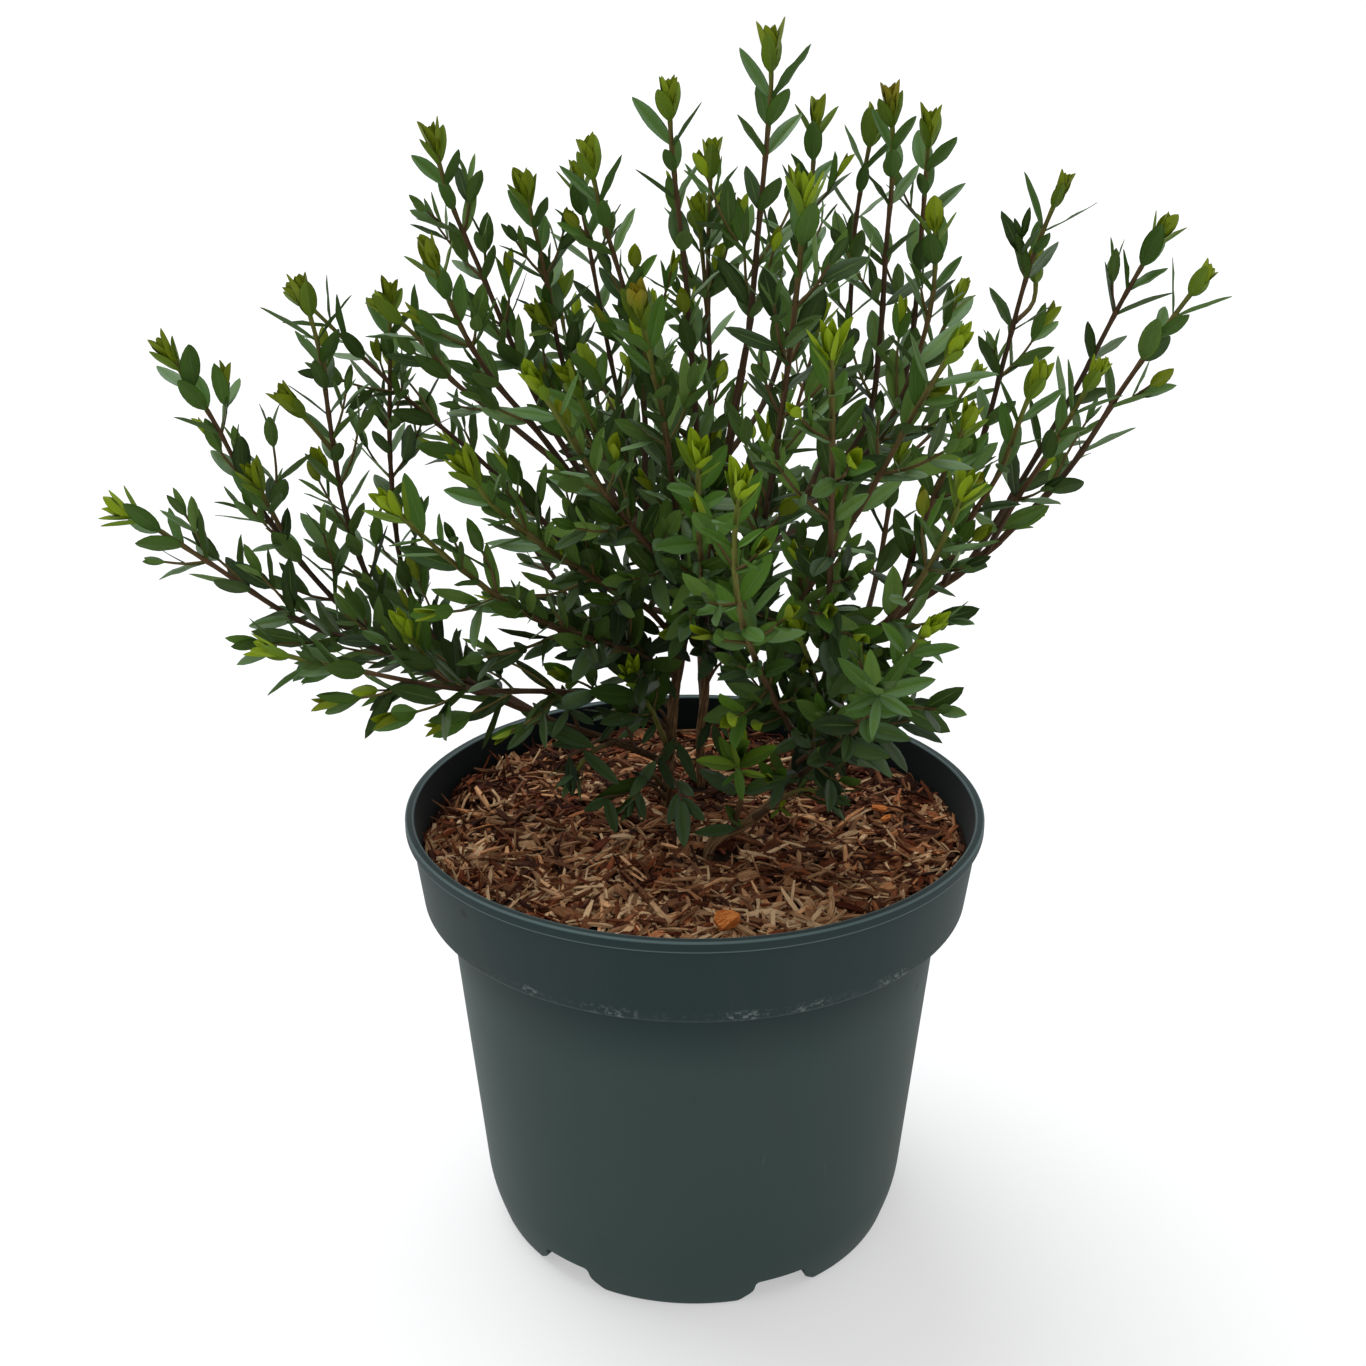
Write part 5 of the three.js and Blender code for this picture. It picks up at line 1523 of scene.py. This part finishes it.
def leaf_finish():
    """Semi-gloss evergreen leaf: dark when old, yellow-green when young, pale below, with a light midrib, a
    painted sheen on faces that look up, a painted shade line at the margins and painted shade deep in the
    bush.
    """
    graph = Graph("myrtle_leaf")
    young, tint, under = graph.attribute("mark", "Color").parts()
    # The mark's alpha holds the painted shade of leaves deep in the bush
    depth = graph.attribute("mark", "Alpha")
    place = graph.attribute("place", "Vector")
    u, v, _ = place.parts()
    off_rib = abs(v)
    cloud = place.noise(1, stretch=(7, 3, 1))
    old = (tint * 0.8 + cloud * 0.2).ramp(LEAF_OLD_COLOURS)
    upper = graph.mix(young.spread(0.05, 0.5), old, LEAF_FRESH_COLOUR)
    lime = graph.mix(tint.spread(0.2, 0.8), *LEAF_YOUNG_COLOURS)
    upper = graph.mix(young.spread(0.45, 0.95), upper, lime)
    blush = young.spread(0.9, 1) * tint.spread(0.04, 0.12, 1, 0) * u.spread(0.25, 0.9, 0, 0.5)
    upper = graph.mix(blush, upper, LEAF_TIP_COLOUR)
    # Painted sheen: faces that look up, most near their margins, are mixed towards a pale reflection of the
    # sky
    _, _, facing_up = graph.value("ShaderNodeNewGeometry", (), "Normal").parts()
    sheen = facing_up.spread(0.1, 0.95) * off_rib.spread(0.1, 0.8, 0.4, 1)
    sheen = sheen * tint.spread(0.1, 0.9, 0.2, 0.85) * young.spread(0.2, 0.7, 1, 0.25)
    upper = graph.mix(sheen, upper, LEAF_PAINTED_SHEEN_COLOUR)
    rib = off_rib.spread(0.03, 0.1, 1, 0) * u.spread(0.55, 1, 0.5, 0.05)
    upper = graph.mix(rib * 0.8, upper, LEAF_RIB_COLOUR)
    # Painted shade: a thin dark line along the margins, which curl down
    upper = graph.mix(off_rib.spread(0.86, 1, 0, 0.6), upper, LEAF_EDGE_SHADE_COLOUR)
    lower = graph.mix(young.spread(0.3, 0.9, 0.5, 0.1), upper, LEAF_UNDER_COLOUR)
    colour = graph.mix(under, upper, lower)
    # Painted shade: the mark's alpha darkens leaves that stand deep in the bush
    light = depth.spread(0.1, 1, 1, 0.44)
    light = graph.value("ShaderNodeCombineXYZ", {axis: light for axis in range(3)})
    colour = graph.mix(1, colour, light, "MULTIPLY")
    veins = (u * 70 - off_rib * 14).math("SINE")
    fine = place.noise(1, stretch=(40, 18, 1))
    normal = (veins * 0.25 + fine).bump(0.35, 0.12)
    roughness = under * 0.2 + cloud * 0.16 + LEAF_ROUGHNESS
    return graph.finish(colour, roughness, LEAF_SHINE, normal, LEAF_GLOW)


def twig_finish():
    """Thin bark of the shoots: green at the tips, reddish brown and then dark brown lower down."""
    graph = Graph("myrtle_twig")
    age, tint, _ = graph.attribute("mark", "Color").parts()
    streak = graph.attribute("place", "Vector").noise(1, stretch=(1.3, 0.25, 1))
    older = age + (streak - 0.5) * 0.35 + (tint - 0.5) * 0.2
    return graph.finish(older.ramp(TWIG_COLOURS), 0.75, 0.1, streak.bump(0.5, 0.15))


def bark_finish():
    """Dull, finely fissured bark of the woody stems."""
    graph = Graph("myrtle_bark")
    plates = graph.attribute("place", "Vector").noise(0.9, 5, 0.6, stretch=(1, 1, 0.16))
    limb, _, _ = graph.attribute("mark", "Color").parts()
    _, _, z = graph.where().parts()
    dark = limb.math("MAXIMUM", z.spread(BARK_LOW_Z * MM, BARK_HIGH_Z * MM))
    colour = graph.mix(dark * 0.72, plates.ramp(BARK_COLOURS), BARK_LIMB_COLOUR)
    return graph.finish(colour, 0.9, 0.06, plates.bump(0.8, 0.5))


def chip_finish():
    """Dry shredded bark and wood fibre, streaked along the grain. The palest chips are bright orange. Chips
    that lie under others are darkened with painted shade.
    """
    graph = Graph("bark_chip")
    pale, tint, buried_shade = graph.attribute("mark", "Color").parts()
    place = graph.attribute("place", "Vector")
    grain = place.noise(1, 3, 0.6, stretch=(0.14, 2.2, 2.2))
    blotch = place.noise(0.22, 2)
    tone = pale + (grain - 0.5) * 0.7 + (blotch - 0.5) * 0.2
    colour = tone.math("MINIMUM", CHIP_RAMP_END).ramp(CHIP_COLOURS)
    orange = graph.mix(grain.spread(0.4, 0.6), CHIP_RED_COLOUR, CHIP_COLOURS[-1][1])
    colour = graph.mix(pale.math("GREATER_THAN", CHIP_BRIGHT), colour, orange)
    warm = graph.mix(tint.spread(0.05, 0.4, 0.32, 0), colour, CHIP_WARM_COLOUR, "SOFT_LIGHT")
    colour = graph.mix(pale.math("LESS_THAN", CHIP_BRIGHT), colour, warm)
    colour = graph.mix(tint.spread(0.8, 1, 0, 0.2), colour, CHIP_GREY_COLOUR)
    # Painted shade: chips that lie under others are darkened
    colour = graph.mix(buried_shade * 0.85, colour, CHIP_GAP_SHADE_COLOUR)
    return graph.finish(colour, 0.82, 0.07, grain.bump(0.8, 0.35))


def ground_finish(name, stops, scale):
    """Crumbly ground in two tones."""
    graph = Graph(name)
    crumbs = graph.where().noise(scale, 6, 0.65)
    return graph.finish(crumbs.ramp(stops), 0.95, 0.1, crumbs.bump(1, 1.5))


def pot_finish(name, shine):
    """Dark bluish-green moulded plastic with handling dust, a scuffed collar edge and a few specks, its body
    painted lighter than its collar, painted highlight lines on its moulded edges and painted shade inside.
    """
    graph = Graph(name)
    where = graph.where()
    x, y, z = where.parts()
    film = where.noise(1, 4, 0.6, stretch=(14, 14, 5))
    # Painted light: the body below the collar is painted lighter than the collar, though it is the same
    # plastic
    body = z.spread(0.75 * COLLAR_LOW_Z * MM, 0.99 * COLLAR_LOW_Z * MM, 1, 0)
    colour = graph.mix(body, POT_COLLAR_COLOUR, POT_BODY_PAINTED_LIGHTER_COLOUR)
    colour = graph.mix(film.spread(0.45, 0.8, 0, 0.3), colour, POT_DUST_COLOUR)
    radius = (x * x + y * y).math("SQRT")
    # Painted highlights: thin light lines along the lip's moulded edges
    for edge_radius, edge_z in POT_HIGHLIGHT_EDGES:
        off_radius, off_z = radius - edge_radius * MM, z - edge_z * MM
        off = (off_radius * off_radius + off_z * off_z).math("SQRT")
        colour = graph.mix(off.spread(0.35 * MM, 0.85 * MM, 0.85, 0), colour, POT_EDGE_HIGHLIGHT_COLOUR)
    # Painted shade: faces that look into the container are darkened
    facing = graph.value("ShaderNodeNewGeometry", (), "True Normal")
    outward = graph.value("ShaderNodeVectorMath", {0: facing, 1: where}, "Value", operation="DOT_PRODUCT")
    colour = graph.mix(outward.spread(-0.08, -0.04, 0.95, 0), colour, POT_INSIDE_SHADE_COLOUR)
    near_edge = abs(z - (COLLAR_LOW_Z + SHOULDER_DROP) * MM).spread(0.5 * MM, 3.2 * MM, 1, 0)
    rubbed = where.noise(1, 4, 0.7, stretch=(420, 420, 620))
    turn = x.math("ARCTAN2", y * -1)
    patches = POT_SCUFF_FLOOR
    for middle, reach in np.radians(POT_SCUFFS).tolist():
        patches = abs(turn - middle).spread(0.3 * reach, reach, 1, 0).math("MAXIMUM", patches)
    scuff = near_edge * patches * rubbed.spread(0.48, 0.62)
    colour = graph.mix(scuff * 0.32, colour, POT_SCUFF_COLOUR)
    scratch = where.noise(1, 3, 0.6, stretch=(420, 420, 30)).spread(0.7, 0.78) * film.spread(0.5, 0.7)
    colour = graph.mix(scratch * 0.16, colour, POT_SCUFF_COLOUR)
    dots = graph.value("ShaderNodeTexVoronoi", {"Vector": where, "Scale": 34})
    specks = dots.spread(0.03, 0.09, 1, 0) * film.spread(0.42, 0.55)
    colour = graph.mix(specks * 0.7, colour, POT_SPECK_COLOUR)
    roughness = film * 0.18 + scuff * 0.2 + POT_ROUGHNESS
    pits = where.noise(900, 2).bump(0.12, 0.12)
    dents = where.noise(26, 1).bump(0.25, 1.2, pits)
    return graph.finish(colour, roughness, shine, dents, more={"Sheen Weight": 0.05})


def make_stage():
    """A plain pale floor, an even white sky and a soft sun."""
    graph = Graph("pale_floor")
    glow = {"Emission Color": (1, 1, 1), "Emission Strength": FLOOR_GLOW}
    rim = layers(FLOOR_SIDES, *circle(FLOOR_RADIUS, FLOOR_SIDES), 0)
    mesh = plain_mesh("floor", rim, [np.arange(FLOOR_SIDES)[None]])
    mesh.materials.append(graph.finish(FLOOR_COLOUR, 1, 0, more=glow))
    linked("floor", mesh)
    world = bpy.data.worlds.new("sky")
    world.use_nodes = True
    sky = world.node_tree.nodes["Background"]
    sky.inputs["Color"].default_value = (1, 1, 1, 1)
    sky.inputs["Strength"].default_value = 1
    bpy.context.scene.world = world
    sun = bpy.data.lights.new("overcast_sun", "SUN")
    sun.energy = SUN_STRENGTH
    sun.angle = math.radians(SUN_ANGLE)
    sun.color = SUN_COLOUR
    linked("overcast_sun", sun).rotation_euler = [math.radians(turn) for turn in SUN_TURN]


def make_camera():
    """The photo's camera."""
    lens = bpy.data.cameras.new("camera")
    lens.sensor_width = SENSOR_WIDTH
    lens.lens = SENSOR_WIDTH * PHOTO_FOCAL / PHOTO_SIZE
    lens.clip_end = 100
    camera = linked("camera", lens)
    camera.location = PHOTO_CAMERA * MM
    camera.rotation_euler = (math.pi / 2 - PHOTO_PITCH, 0, 0)
    bpy.context.scene.camera = camera
    bpy.context.scene.view_settings.view_transform = "Standard"


def finish_soil():
    """Gives the potting soil, which the mulch hides, its finish."""
    materials = frame["nodes"]["soil"].data.materials
    materials.clear()
    materials.append(ground_finish("potting_soil", SOIL_COLOURS, SOIL_CRUMBS))


def main():
    """Builds the whole scene."""
    make_camera()
    make_stage()
    finish_soil()
    make_pot([pot_finish("pot_plastic", POT_SHINE), pot_finish("pot_plastic_inside", POT_INSIDE_SHINE)])
    wood = wood_routes()
    shoots = shoot_routes(wood)
    grow_shoots(wood, shoots)
    make_wood(wood, shoots, bark_finish())
    leafy = [leaf_finish(), twig_finish()]
    make_shoots(shoots, leafy)
    make_low_sprouts(*low_sprouts(wood), leafy)
    make_bed(ground_finish("mulch_bed", BED_COLOURS, BED_CRUMBS))
    make_chips(wood, chip_finish())


main()
